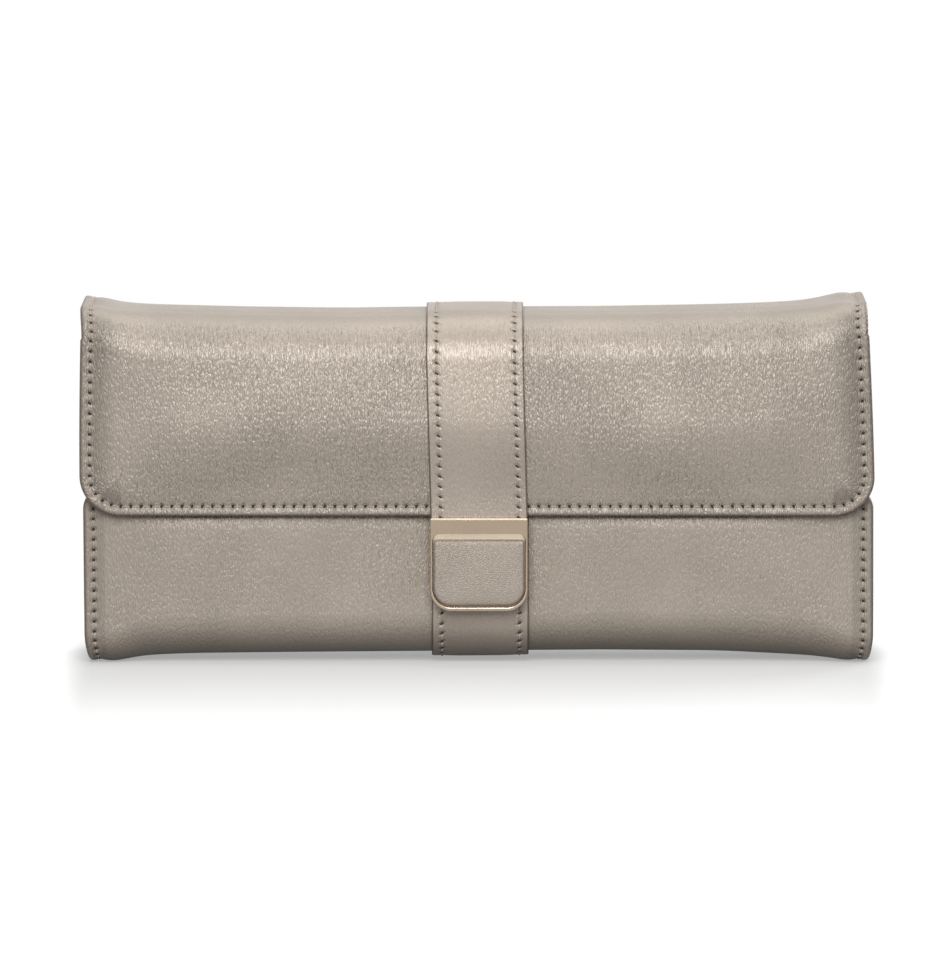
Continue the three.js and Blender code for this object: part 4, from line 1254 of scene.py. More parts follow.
@dataclass
class Sewing:
    """Saddle stitches: one short bent thread, repeated from hole to hole."""

    thickness: float = 0.52
    lift: float = 0.16
    dive: float = 0.28
    reach: float = 0.37
    lean: float = 0.1
    sections: int = 5
    sides: int = 6

    def bead(self) -> tuple[np.ndarray, list]:
        """Makes one stitch along X from -1 to 1, one unit thick, and takes it off the bench.

        Returns:
            Its points and its faces.
        """
        piece = Bench.add("one_stitch", bpy.ops.mesh.primitive_cylinder_add, vertices=self.sides,
                          radius=0.5, depth=1.5, rotation=(0, QUARTER, 0))
        Bench.settle(piece)
        with Modelling(piece) as work:
            for way in (1, -1):
                work.pick(Part.FACE, lambda item, way=way: item.normal.x * way > 0.9)
                work.extrude(0.25 * way, 0, 0, unit=1)
                bpy.ops.transform.resize(value=(1, 0.45, 0.45))
            work.pick(Part.EDGE, lambda item: abs(item.verts[0].co.x - item.verts[1].co.x) > 1)
            bpy.ops.mesh.subdivide(number_cuts=self.sections - 2)
        places = np.array([vertex.co[:] for vertex in piece.data.vertices])
        faces = [tuple(item.vertices) for item in piece.data.polygons]
        bpy.data.objects.remove(piece)
        return places, faces

    def sew(self, title: str, stitches: Iterable[Stitch]) -> Piece:
        """Sews every stitch of a seam as one piece.

        Args:
            title: the piece's name.
            stitches: for each one, three places (hole, middle, hole) and the way up there.

        Returns:
            The stitches.
        """
        bead, faces = self.bead()
        share = bead[:, 0]
        turned = np.arctan2(bead[:, 2], bead[:, 1])
        points, every, marks = [], [], []
        for stitch, ((first, middle, last), up) in enumerate(stitches):
            span = last - first
            side = np.cross(span, up)
            side /= np.linalg.norm(side)
            way = (share * self.reach * 2 + 1) / 2
            bulge = 4 * (middle - (first + last) / 2)
            spine = first + np.outer(way, span) + np.outer(way * (1 - way), bulge)
            sink = self.lift - (self.lift + self.dive) * np.abs(share) ** 4
            place = spine + np.outer(sink + bead[:, 2] * self.thickness * 0.8, up)
            points.append(place + np.outer(bead[:, 1] * self.thickness + self.lean * share, side))
            every += [tuple(index + stitch * len(bead) for index in item) for item in faces]
            marks.append(np.stack([share * 1.1, turned, np.zeros(len(share))], axis=1))
        mesh = bpy.data.meshes.new(title)
        mesh.from_pydata((np.concatenate(points) * MM).tolist(), [], every)
        piece = bpy.data.objects.new(title, mesh)
        bpy.context.scene.collection.objects.link(piece)
        Bench.note(piece, "flat", np.concatenate(marks))
        Bench.outwards(piece)
        Bench.soften(piece, 60)
        THREAD.dress(piece)
        return piece


def sew_grid(title: str, points: np.ndarray, seam: np.ndarray,
             paths: Iterable[list[tuple[int, int]]], way: Sequence[float]) -> Piece:
    """Sews along paths over a grid.

    Args:
        title: the piece's name.
        points: the grid's places.
        seam: the grid's seam numbers, of which the second is the stitch count.
        paths: the rows and columns that each seam follows.
        way: where the side that is seen points to.

    Returns:
        The stitches.
    """
    normals, counts, stitches = outward(points, way), seam[:, :, 1], []
    for path in paths:
        whole = [(cell, counts[cell]) for cell in path
                 if abs(counts[cell] * 2 - round(counts[cell] * 2)) < SAME_COUNT]
        for (first, start), (middle, _), (last, stop) in zip(whole, whole[1:], whole[2:]):
            one_apart = abs(abs(stop - start) - 1) < 2 * SAME_COUNT
            if one_apart and abs(start - round(start)) < SAME_COUNT:
                three = np.array([points[first], points[middle], points[last]])
                stitches.append((three, normals[middle]))
    return Sewing().sew(title, stitches)


def follow_fold(crease: Crease, slot: str, pieces: Iterable[Piece], inner: bool = False) -> None:
    """Moves each piece's place into its mesh and logs its faces."""
    for piece in pieces:
        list(crease.bodies)
        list(crease.ends(inner))
        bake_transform(piece)
        log.info("%s: %d faces", piece.name, len(piece.data.polygons))


@dataclass
class Skin:
    """A sewn layer of the panels: one sheet round every fold, with its stitching."""

    kind: str
    sheet: str
    seam: str
    slot: str
    finish: Finish
    thickness: float
    layer: Layer

    def build(self) -> None:
        """Makes the layer's four sheets and their seams."""
        for crease in CREASES:
            titles = (f"{self.sheet}_{crease.title}", f"{self.seam}_{crease.title}")
            piece, stitches = Cover(crease, self.layer).build(*titles)
            Bench.thicken(piece, self.thickness)
            Bench.soften(piece)
            self.finish.dress(piece)
            follow_fold(crease, self.slot, (piece, stitches), self.layer.inner)
            if self.layer.inner:
                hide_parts(*crease.nodes(self.kind))
            else:
                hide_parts(*crease.nodes(self.kind), *crease.nodes("padding", PADDED))


PADDED = ("top", "bottom")
COVERS = Skin("cover", "leather", "stitches", "pewter_leather", PEWTER, 1.1, Layer())
LININGS = Skin("lining", "lining_suede", "lining_stitches", "suede", LINING, 0.7, Layer(
    crest=-0.05, groove=-0.22, shoulder=7.0, face=4.1, inner=True, per_stitch=2, pit=-0.08))


@dataclass
class Strap:
    """The strap round the middle, sewn on over every fold, with painted edges."""

    width: float = 28.6
    thickness: float = 1.2
    gap: float = 0.12
    left_line: float = 3.0
    right_line: float = 2.7
    groove: float = 0.13
    seam_width: float = 0.55
    hole_depth: float = 0.2
    hole_length: float = 0.14
    plump: float = 0.14
    plump_run: float = 5.0
    edge_drop: float = 0.08
    edge_run: float = 1.2
    per_stitch: int = 4

    def build(self) -> None:
        """Makes the strap's four stretches and their seams."""
        lines = self.lines()
        columns = [lines.index(self.left_line), lines.index(self.width - self.right_line)]
        for crease in CREASES:
            points, flat, seam, edge = self.grid(crease, lines)
            notes, way = {"flat": flat, "seam": seam, "edge": edge}, (0, 0, crease.up)
            piece = Bench.sheet(f"strap_leather_{crease.title}", points, notes, way)
            line_up(piece, STRAP_LEATHER, EDGE_PAINT)
            Bench.thicken(piece, self.thickness, material_offset_rim=1)
            with Modelling(piece) as work:
                work.pick(Part.EDGE, self.long_edge)
                bpy.ops.mesh.bevel(offset=0.32 * MM, segments=3, affect="EDGES")
            Bench.soften(piece)
            paths = [[(i, column) for i in range(len(points))] for column in columns]
            stitches = sew_grid(f"strap_stitches_{crease.title}", points, seam, paths, way)
            follow_fold(crease, "strap_leather", (piece, stitches))
            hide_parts(*crease.nodes("strap"))

    @staticmethod
    def long_edge(edge: bmesh.types.BMEdge) -> bool:
        """Tells whether an edge is sharp and runs along the strap."""
        first, last = edge.verts
        lengthwise = abs(first.co.x - last.co.x) < 0.3 * MM
        return lengthwise and edge.calc_face_angle(0.0) > math.radians(60)

    def lines(self) -> list[float]:
        """Returns the places across the strap, from its left edge."""
        left, far, width = self.left_line, self.width - self.right_line, self.width
        return [0, 0.5, 1.1, *(left + off for off in (-0.9, -0.4, 0, 0.4, 0.9)),
                *(width * share / 10 for share in range(2, 9)),
                *(far + off for off in (-0.9, -0.4, 0, 0.4, 0.9)), width - 1.0, width - 0.5, width]

    def grid(self, crease: Crease, lines: list[float]) -> tuple[np.ndarray, ...]:
        """Works out one stretch of the strap.

        Args:
            crease: the fold that it runs over.
            lines: the places across the strap.

        Returns:
            The points, the flat places, the seam numbers and the distances from the edge.
        """
        rows = stitch_rows(crease.strap_stitches, self.per_stitch)
        points, flat, seam, edge = (np.zeros((len(rows), len(lines), 3)) for _ in range(4))
        turn_z = crease.level(0) - crease.up * FORM.middle_radius
        low = crease.start + crease.up * crease.strap_start
        first, last = crease.strap_centres
        for i, (leg, share, stitch) in enumerate(rows):
            travel, here, at, lean = share, leg, share, 1.0
            if leg is Leg.UPRIGHT:
                height = low + (turn_z - low) * share
                here, at = Leg.END, abs(height - crease.start)
                travel = lean = (height - crease.start) / (turn_z - crease.start)
            for j, place in enumerate(lines):
                x = place - self.width / 2
                inset, line, way = ((place, self.left_line, 1) if place < self.width / 2
                                    else (self.width - place, self.right_line, -1))
                near = peak((inset - line) / self.seam_width)
                hole = peak((stitch - round(stitch)) / self.hole_length)
                sink = self.groove * near + self.hole_depth * near * hole
                plump = (self.plump * smooth((inset - line) / self.plump_run)
                         - self.edge_drop * smooth(1 - inset / self.edge_run))
                out = self.gap + self.thickness + plump - sink + crease.swell(0, leg, travel)
                spot = crease.spot(x, here, at, -out)
                points[i, j] = (spot[0] + first + (last - first) * lean, spot[1], spot[2])
                flat[i, j] = (x + 300, crease.run(here, at), 0)
                seam[i, j] = (3.0 + inset - line, way * stitch, 0.8 * crease.turning(leg, travel))
                edge[i, j] = (inset, 0, 0)
        return points, flat, seam, edge


def rounded(left: float, right: float, low: float, high: float, low_radius: float,
            high_radius: float, steps: int = 8) -> Points:
    """Lists the points of an upright rectangle with rounded corners.

    Args:
        left, right: its sides.
        low, high: its lower and upper edge.
        low_radius: the radius of the lower corners.
        high_radius: the radius of the upper corners.
        steps: the segments of each corner.

    Returns:
        The points, anticlockwise from the lower left, the same number for any size.
    """
    corners = [(left + low_radius, low + low_radius, low_radius, 2),
               (right - low_radius, low + low_radius, low_radius, 3),
               (right - high_radius, high - high_radius, high_radius, 0),
               (left + high_radius, high - high_radius, high_radius, 1)]
    turns = [(corner, QUARTER * (corner[3] + step / steps)) for corner in corners
             for step in range(steps + 1)]
    return [(x + radius * math.cos(turn), z + radius * math.sin(turn))
            for (x, z, radius, _), turn in turns]


def upright(outline: Outline, depth: float) -> np.ndarray:
    """Returns an outline of width and height as places at a depth."""
    return np.array([(x, depth, z) for x, z in outline])


BODY_OF = {node: body for body, nodes in frame["record"]["behaviour"]["bodies"].items()
           for node in nodes}


def corners(node: str) -> tuple[Vector, Vector]:
    """Returns a node's lowest and highest corner in millimetres."""
    low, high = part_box(node)
    return Vector(low) / MM, Vector(high) / MM


def stand_for(node: str, slot: str, piece: Piece, *others: Piece) -> None:
    """Hides a node, and lets a piece and others ride on the node's body."""
    for item in (piece, *others):
        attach(item, BODY_OF[node])
    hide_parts(node)


@dataclass
class Clasp:
    """The clasp on the strap's end: a gold frame with a plate above its leather inlay."""

    left: float = -13.9
    right: float = 14.7
    low: float = 17.2
    high: float = 44.75
    lip_high: float = 40.15
    inlay_high: float = 38.35
    inlay_gap: float = 0.38
    side_bar: float = 0.62
    low_bar: float = 1.15
    corner: float = 6.3
    back: float = -22.3
    floor: float = -24.0
    front: float = -25.55

    def build(self) -> None:
        """Makes the clasp's parts."""
        body, frame_piece, inlay = self.body(), self.frame(), self.inlay()
        for piece in (body, frame_piece):
            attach(piece, "flap")
        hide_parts("clasp_frame")
        stand_for("clasp_inlay", "inlay_leather", inlay)
        log.info("clasp: body, frame and inlay")

    def body(self) -> Piece:
        """Returns the slab behind the frame, with rounded corners."""
        outline = rounded(self.left + 0.05, self.right - 0.05, self.low + 0.05, self.high - 0.05,
                          self.corner, 0.8, 12)
        piece = Bench.face("clasp_body", outline, self.back)
        with Modelling(piece) as work:
            work.extrude(0, self.floor - self.back, 0)
        Bench.outwards(piece)
        Bench.ease(piece, 0.18)
        Bench.soften(piece, 30)
        SHADED_SATIN_GOLD.dress(piece)
        return piece

    def loop(self, inset: float, depth: float, high: float, low_radius: float,
             high_radius: float) -> np.ndarray:
        """Returns one line of the frame, an inset inside the clasp's outline, at a depth."""
        low = inset * (self.low_bar / self.side_bar if inset > 0.3 else 1)
        return upright(rounded(self.left + inset, self.right - inset, self.low + low, high,
                               low_radius, high_radius, 14), depth)

    def frame(self) -> Piece:
        """Returns the frame: a satin face, polished bevels and a wide lip above the inlay."""
        front, high, corner, base = self.front, self.high, self.corner, self.floor + 0.02
        piece = Bench.ring("clasp_frame_gold", [self.loop(*values) for values in (
            (0.0, base, high, corner, 0.5),
            (0.0, front + 0.3, high, corner, 0.5),
            (0.03, front + 0.2, high - 0.12, corner - 0.03, 0.46),
            (0.14, front, high - 0.48, corner - 0.14, 0.3),
            (0.44, front, self.lip_high, corner - 0.6, 2.3),
            (0.54, front + 0.1, self.lip_high - 0.1, corner - 0.7, 2.15),
            (0.62, front + 0.75, self.inlay_high + 0.06, corner - 1.0, 1.2),
            (0.64, front + 0.9, self.inlay_high, corner - 1.05, 1.15),
            (0.64, base, self.inlay_high, corner - 1.05, 1.15))])
        line_up(piece, GOLD, SHADED_SATIN_GOLD, EDGE_PAINT)
        # painted shade: the inward walls deep in the frame take the dark edge paint, for the dark
        # gap round the inlay
        polished, satin, painted = range(3)
        middle = Vector(((self.left + self.right) / 2, 0, (self.low + self.inlay_high) / 2)) * MM
        for item in piece.data.polygons:
            way = item.center - middle
            inward = item.normal.x * way.x + item.normal.z * way.z < 0
            deep = item.center.y > (front + 0.11) * MM and item.center.z < self.inlay_high * MM
            rest = painted if inward and deep else polished
            item.material_index = satin if item.normal.y < -0.999 else rest
        Bench.soften(piece, 25)
        return piece

    def inlay(self) -> Piece:
        """Returns the leather inlay: a thin pad with soft edges and a low crown."""
        gap, back = self.inlay_gap, self.floor - 0.02
        edge = [(0.0, 0.0), (0.0, 0.35), (0.05, 0.52), (0.16, 0.66), (0.34, 0.78), (0.6, 0.87),
                (1.0, 0.94), (1.7, 0.99), (2.7, 1.03), (4.2, 1.07), (6.0, 1.1), (8.0, 1.12)]
        loops = []
        for inset, lift in edge:
            side, radius = self.side_bar + gap + inset, self.corner - 1.3 - inset
            outline = rounded(self.left + side, self.right - side,
                              self.low + self.low_bar + gap + inset, self.inlay_high - gap - inset,
                              max(radius, 0.4), max(1.0 - inset, 0.3), 10)
            loops.append(upright(outline, back - lift))
        piece = Bench.pad("clasp_inlay_leather", loops)
        INLAY_LEATHER.dress(piece)
        line_up(piece, EDGE_PAINT)
        # the inlay's back edge takes the dark edge paint: partly a real painted edge, partly
        # painted shade in the gap round it
        for item in piece.data.polygons:
            item.material_index = int(item.center.y > (back - 0.45) * MM)
        Bench.soften(piece)
        return piece


@dataclass
class Tab:
    """A narrow leather strip with painted edges and a seam along both sides."""

    title: str
    path: Sequence[Spot]
    across: Spot
    out: Spot
    width: float = 14.0
    thickness: float = 1.2
    line: float = 1.7
    pitch: float = 2.6
    bend: float = 1.4
    tip: float = 0.9
    plump: float = 0.1
    plump_run: float = 3.0
    groove: float = 0.14
    seam_width: float = 0.5
    sink: float = 0.04
    shares: tuple = (-1, -0.94, -0.85, -0.76, -0.66, -0.35, 0, 0.35, 0.66, 0.76, 0.85, 0.94, 1)

    def spine(self) -> np.ndarray:
        """Returns close points along the path, with its bends eased."""
        places = np.array(self.path, float)
        run = travelled(places)
        steps = np.linspace(0, run[-1], max(int(run[-1] / 0.6), 8))
        ease = np.minimum(self.bend, np.minimum(steps, run[-1] - steps))
        near = [along(places, run, steps + ease * shift) for shift in np.linspace(-1, 1, 7)]
        return np.mean(near, axis=0).T

    def build(self) -> Pair:
        """Returns the strip and its stitches."""
        spine = self.spine()
        run, radius = travelled(spine), self.width / 2
        reach = np.clip(radius - (run[-1] - run), 0, None)
        half = np.maximum(np.sqrt(np.clip(radius ** 2 - reach ** 2, 0, None)), self.tip)
        side = np.outer(half, self.shares)
        points = spine[:, None, :] + side[..., None] * np.array(self.across)
        inset = radius - np.sqrt(reach[:, None] ** 2 + side ** 2)
        normals = outward(points, self.out)
        plump = self.plump * np.clip(inset / self.plump_run, 0, 1)
        groove = self.groove * np.exp(-(((inset - self.line) / self.seam_width) ** 2))
        points = points + normals * (plump - groove)[..., None]
        length = np.repeat(run[:, None], len(self.shares), axis=1)
        nothing = np.zeros_like(inset)
        count = np.sign(side + 0.01) * length / self.pitch
        marks = {"flat": (side, length, nothing), "seam": (3 + inset - self.line, count, nothing),
                 "edge": (inset, nothing, nothing)}
        notes = {key: np.stack(values, axis=2) for key, values in marks.items()}
        piece = Bench.sheet(self.title, points, notes, self.out)
        line_up(piece, STRAP_LEATHER, EDGE_PAINT)
        Bench.thicken(piece, self.thickness, material_offset_rim=1)
        Bench.ease(piece, 0.3)
        Bench.soften(piece)
        return piece, self.sew(spine, run, normals)

    def sew(self, spine: np.ndarray, run: np.ndarray, normals: np.ndarray) -> Piece:
        """Returns the stitches along both sides, as far as the rounded end."""
        stitches = []
        for side in (-1, 1):
            reach = side * (self.width / 2 - self.line) * np.array(self.across)
            for step in range(int((run[-1] - self.width / 2) / self.pitch)):
                row = int(np.argmin(abs(run - (step + 0.5) * self.pitch)))
                up = normals[row, len(self.shares) // 2]
                three = [along(spine, run, (step + share) * self.pitch) + reach - self.sink * up
                         for share in (0, 0.5, 1)]
                stitches.append((np.array(three), up))
        return Sewing(thickness=0.45).sew(f"{self.title}_stitches", stitches)


@dataclass
class Snap:
    """A press fastener: a cap with its socket, and the stud that it closes on."""

    cap: Outline = (
        (1.9, 2.5), (1.9, 1.32), (2.1, 1.3), (3.3, 1.3), (3.6, 1.5), (3.6, 2.45), (3.4, 2.7),
        (1.6, 2.72), (1.6, 4.48), (4.2, 4.5), (4.5, 4.62), (4.6, 4.85), (4.56, 5.12), (4.35, 5.35),
        (4.0, 5.46), (3.7, 5.42), (3.5, 5.3), (3.3, 5.3), (3.05, 5.42), (2.4, 5.56), (1.5, 5.66),
        (0.6, 5.69))
    stud: Outline = (
        (3.8, 0.0), (4.0, 0.12), (4.0, 0.5), (3.8, 0.72), (3.3, 0.86), (2.3, 0.94), (1.7, 1.0),
        (1.3, 1.2), (1.25, 1.5), (1.45, 1.75), (1.5, 1.95), (1.35, 2.12), (0.9, 2.2))

    def build(self, prefix: str, suffix: str, place: Vector, axis: Vector) -> None:
        """Makes both halves at one place.

        Args:
            prefix: the start of the CAD nodes' names.
            suffix: the end of the CAD nodes' names.
            place: the foot of the stud.
            axis: the way the fastener stands.
        """
        for kind, outline in (("cap", self.cap), ("stud", self.stud)):
            node = f"{prefix}_{kind}{suffix}"
            piece = Bench.turned(f"{node}_turned", outline, place, axis)
            GOLD.dress(piece)
            stand_for(node, "pale_gold", piece)


@dataclass
class RingBar:
    """The padded bar for rings, with its sewn tab, its snap tab and the press fastener."""

    bore: float = 4.9
    seam_turn: float = 2.1
    seam_depth: float = 0.62
    gather: float = 0.12
    gather_spread: float = 0.3
    groove: float = 0.5
    groove_spread: float = 0.09
    stitch: float = 4.2
    sides: int = 48
    snap_x: float = 102.25

    def build(self) -> None:
        """Makes the bar's parts."""
        sleeve, stitches = self.sleeve()
        stand_for("ring_bar_sleeve", "suede", sleeve, stitches)
        low, high = corners("ring_bar_hinge_tab")
        y, foot, rise, knee = (low.y + high.y) / 2, low.z + 1.3, high.z, high.x - 1.3
        tab = Tab("bar_hinge_tab", ((low.x, y, foot), (knee, y, foot), (knee, y, rise)), (0, 1, 0),
                  (-1, 0, 1), thickness=1.3)
        stand_for("ring_bar_hinge_tab", "pewter_leather", *tab.build())
        low, high = corners("ring_bar_snap_tab")
        foot, knee = low.z + 1.2, low.x + 1.2
        tab = Tab("bar_snap_tab", ((knee, y, rise), (knee, y, foot), (high.x, y, foot)), (0, 1, 0),
                  (1, 0, 1))
        stand_for("ring_bar_snap_tab", "pewter_leather", *tab.build())
        foot = corners("ring_bar_snap_stud")[0].z
        Snap().build("ring_bar_snap", "", Vector((self.snap_x, y, foot)), Vector((0, 0, 1)))
        log.info("ring bar: sleeve, two tabs and a press fastener")

    def sleeve(self) -> Pair:
        """Returns the suede sleeve, drawn in at its ends, and the stitches of its seam."""
        low, high = corners("ring_bar_sleeve")
        centre, radius = (low + high) / 2, (high.z - low.z) / 2
        ends = [(0.0, 0.66), (0.1, 0.76), (0.4, 0.86), (1.0, 0.935), (2.0, 0.975), (3.5, 0.99)]
        outline = [(low.x + run, radius * share) for run, share in ends]
        for x in np.linspace(low.x + 6, high.x - 6, 88):
            ripple = 0.006 * math.sin(x / 5.3) + 0.005 * math.sin(x / 11.7 + 1)
            outline.append((x, radius * (0.987 + ripple)))
        outline += [(high.x - run, radius * share) for run, share in reversed(ends)]
        outline += [(high.x - 0.4, self.bore), (low.x + 0.4, self.bore)]
        turns = np.linspace(0, FULL, self.sides, endpoint=False)
        off = turns - self.seam_turn
        loops = []
        for x, reach in outline:
            gather = self.gather * np.cos(FULL * x / self.stitch)
            gather = gather * np.exp(-((off / self.gather_spread) ** 2))
            groove = self.groove * np.exp(-((off / self.groove_spread) ** 2)) + gather
            around = reach - groove * (reach > self.bore + 0.1)
            loops.append(np.stack([np.full(self.sides, x), centre.y + around * np.cos(turns),
                                   centre.z + around * np.sin(turns)], axis=1))
        piece = Bench.ring("bar_sleeve_suede", loops)
        Bench.soften(piece)
        BAR_SUEDE.dress(piece)
        up = np.array((0, math.cos(self.seam_turn), math.sin(self.seam_turn)))
        line = np.array((0, centre.y, centre.z)) + up * (radius - self.seam_depth)
        stitches = [(np.array([line + np.array((x + self.stitch * share, 0, 0))
                               for share in (0, 0.5, 1)]), up)
                    for x in np.arange(low.x + 4, high.x - 8, self.stitch)]
        return piece, Sewing().sew("bar_sleeve_stitches", stitches)


@dataclass
class NecklaceTabs:
    """Four tabs at the top of the back panel that snap down over necklaces."""

    count: int = 4
    leather: float = 1.2
    held: float = 3.0
    snap_up: float = 6.0

    def build(self) -> None:
        """Makes one tab and its fastener, and copies the tab for the others."""
        low, high = corners("necklace_tab_1")
        root, x = high.y - self.leather, (low.x + high.x) / 2
        path = ((x, root, high.z), (x, root, high.z - 1.4), (x, root - self.held, high.z - 6.4),
                (x, root - self.held, low.z))
        first = Tab("necklace_strip_1", path, (1, 0, 0), (0, -1, 0)).build()
        for number in range(1, self.count + 1):
            node = f"necklace_tab_{number}"
            left, right = corners(node)
            pieces = first if number == 1 else [self.copy(piece, number, left.x - low.x)
                                                for piece in first]
            stand_for(node, "pewter_leather", *pieces)
            foot = Vector(((left.x + right.x) / 2, right.y, left.z + self.snap_up))
            Snap().build("necklace", f"_{number}", foot, Vector((0, -1, 0)))
        log.info("necklace tabs: %d with their fasteners", self.count)

    @staticmethod
    def copy(piece: Piece, number: int, shift: float) -> Piece:
        """Returns a copy of a piece with its own mesh, moved to one side."""
        copy = piece.copy()
        copy.parent = None
        copy.data = piece.data.copy()
        copy.name = copy.data.name = piece.name.replace("_1", f"_{number}")
        copy.data.transform(Matrix.Translation((shift * MM, 0, 0)))
        bpy.context.scene.collection.objects.link(copy)
        return copy


@dataclass
class Pocket:
    """A zip pocket on a lining: a leather face round its window, the zip's tape and teeth."""

    title: str
    facing: int
    depth: float = 3.9
    sheet: float = 1.0
    window: float = 6.0
    opening: float = 5.6
    pitch: float = 1.6
    tooth_off: float = 0.82
    tape_thickness: float = 0.5
    stitch: float = 3.0
    stitch_sink: float = 0.14
    low: Vector = field(init=False)
    high: Vector = field(init=False)
    zip_z: float = field(init=False)

    def __post_init__(self) -> None:
        """Reads the places of the face and of the zip."""
        self.low, self.high = corners(f"{self.title}_pocket_face")
        chain = corners(f"{self.title}_zip_chain")
        self.zip_z = (chain[0].z + chain[1].z) / 2

    def build(self) -> None:
        """Makes the pocket's parts."""
        stand_for(f"{self.title}_pocket_face", "pewter_leather", *self.face())
        stand_for(f"{self.title}_zip_tape", "zip_tape", self.tape())
        stand_for(f"{self.title}_zip_chain", "pale_gold", self.teeth())
        log.info("%s pocket: face, tape and teeth", self.title)

    def height(self, rise: float) -> float:
        """Returns the depth of a height above the lining."""
        return (self.low.y if self.facing > 0 else self.high.y) + self.facing * rise

    def outline(self, share: float, grow: float) -> Points:
        """Returns a line between the window (share 0) and the edge (share 1), grown outwards."""
        inner = (self.low.x + self.window, self.high.x - self.window,
                 self.zip_z - self.opening / 2, self.zip_z + self.opening / 2, 1.0)
        outer = (self.low.x, self.high.x, self.low.z, self.high.z, 3.0)
        left, right, low, high, radius = (a + (b - a) * share for a, b in zip(inner, outer))
        radius = max(radius + grow, 0.4)
        return rounded(left - grow, right + grow, low - grow, high + grow, radius, radius, 6)

    def face(self) -> Pair:
        """Returns the leather face with its turned edges, and its two seams."""
        top, under = self.depth, self.depth - self.sheet
        rows = [(0, 0, under), (0, 0, top - 0.35), (0, 0.12, top - 0.1), (0, 0.45, top),
                (0, 1.1, top), (0, 1.6, top - 0.16), (0, 2.1, top), (0, 2.6, top + 0.06),
                (0.3, 1.0, top + 0.16), (0.6, -1.0, top + 0.18), (1, -4.5, top + 0.12),
                (1, -2.6, top + 0.02), (1, -2.0, top - 0.16), (1, -1.4, top), (1, -0.6, top - 0.08),
                (1, -0.2, top - 0.3), (1, 0, top - 0.75), (1, 0, 0.0), (1, -1.2, 0.0),
                (1, -1.2, under)]
        loops = [upright(self.outline(share, grow), self.height(rise))
                 for share, grow, rise in rows]
        piece = Bench.ring(f"{self.title}_pocket_leather", loops)
        Bench.soften(piece, 45)
        INNER_LEATHER.dress(piece)
        stitches = self.stitches(self.outline(0, 1.6)) + self.stitches(self.outline(1, -2.0))
        return piece, Sewing(thickness=0.45).sew(f"{self.title}_pocket_stitches", stitches)

    def stitches(self, outline: Points) -> list[Stitch]:
        """Returns the stitches along a closed line on the face."""
        places = upright(outline + outline[:1], self.height(self.depth - self.stitch_sink))
        run = travelled(places)
        count = round(run[-1] / self.stitch)
        up = np.array((0.0, self.facing, 0.0))
        return [(np.array([along(places, run, (step + share) / count * run[-1])
                           for share in (0, 0.5, 1)]), up) for step in range(count)]

    def tape(self) -> Piece:
        """Returns the woven tape, with a corded ridge along each side of the teeth."""
        low, high = corners(f"{self.title}_zip_tape")
        outer = high.y if self.facing > 0 else low.y
        rises = {0.0: 0.0, 0.9: -0.05, 1.35: 0.05, 1.6: 0.2, 1.85: 0.22, 2.1: 0.05, 2.5: 0, 5.5: 0}
        columns = [(-place, rise) for place, rise in reversed(rises.items()) if place]
        columns += rises.items()
        points = np.array([[(x, outer + self.facing * rise, self.zip_z + place)
                            for place, rise in columns] for x in np.linspace(low.x, high.x, 40)])
        piece = Bench.sheet(f"{self.title}_zip_woven_tape", points, {}, (0, self.facing, 0))
        Bench.thicken(piece, self.tape_thickness)
        Bench.soften(piece)
        TAPE.dress(piece)
        return piece

    def tooth(self, side: int, place: Spot) -> Piece:
        """Returns one tooth at a place, reaching across from its side of the zip."""
        piece = Bench.add("one_tooth", bpy.ops.mesh.primitive_cube_add, size=1)
        piece.scale = (0.62 * MM, 1.0 * MM, 0.7 * MM)
        piece.location = Vector(place) * MM
        Bench.settle(piece)
        with Modelling(piece) as work:
            work.pick(Part.FACE, lambda item: item.normal.z * side < -0.9)
            for reach, shape in ((0.3, (0.7, 0.8, 1)), (0.5, (1.6, 1.1, 1))):
                work.extrude(0, 0, -side * reach)
                bpy.ops.transform.resize(value=shape)
        Bench.ease(piece, 0.1, 1, 50)
        return piece

    def teeth(self) -> Piece:
        """Returns the closed teeth: one from each side, repeated along the tape."""
        low, high = corners(f"{self.title}_zip_chain")
        depth = (low.y + high.y) / 2
        pair = [self.tooth(side, (low.x + 0.5 + shift, depth, self.zip_z + side * self.tooth_off))
                for side, shift in ((1, 0.0), (-1, self.pitch / 2))]
        Bench.hold(pair[0])
        pair[1].select_set(True)
        bpy.ops.object.join()
        piece = Bench.name(f"{self.title}_zip_teeth")
        count = int((high.x - low.x - 1) / self.pitch)
        Bench.modify(piece, "ARRAY", count=count, use_relative_offset=False,
                     use_constant_offset=True, constant_offset_displace=(self.pitch * MM, 0, 0))
        GOLD.dress(piece)
        return piece


@dataclass
class Magnets:
    """The closing magnet behind the clasp and the plate that it holds to."""

    proud: float = 0.45

    def build(self) -> None:
        """Makes both discs with their rolled rims."""
        for node, way, proud in (("clasp_magnet", 1, 0.0), ("strap_keeper", -1, self.proud)):
            low, high = corners(node)
            centre, radius = (low + high) / 2, (high.z - low.z) / 2
            deep = high.y - low.y + proud
            outline = ((radius - 0.3, 0.0), (radius, 0.1), (radius, deep - 0.3),
                       (radius - 0.12, deep - 0.1), (radius - 0.4, deep),
                       (radius - 0.9, deep - 0.02), (radius - 1.15, deep - 0.16),
                       (radius - 1.6, deep - 0.18), (radius * 0.5, deep - 0.14),
                       (0.8, deep - 0.12))
            place = Vector((centre.x, low.y if way > 0 else high.y, centre.z))
            piece = Bench.turned(f"{node}_turned", outline, place, Vector((0, way, 0)), 48)
            STEEL.dress(piece)
            stand_for(node, "magnet_steel", piece)
        log.info("magnets: magnet and keeper")


def grey(value: float) -> Colour:
    """Returns a grey as a shader takes it."""
    return (value, value, value, 1)


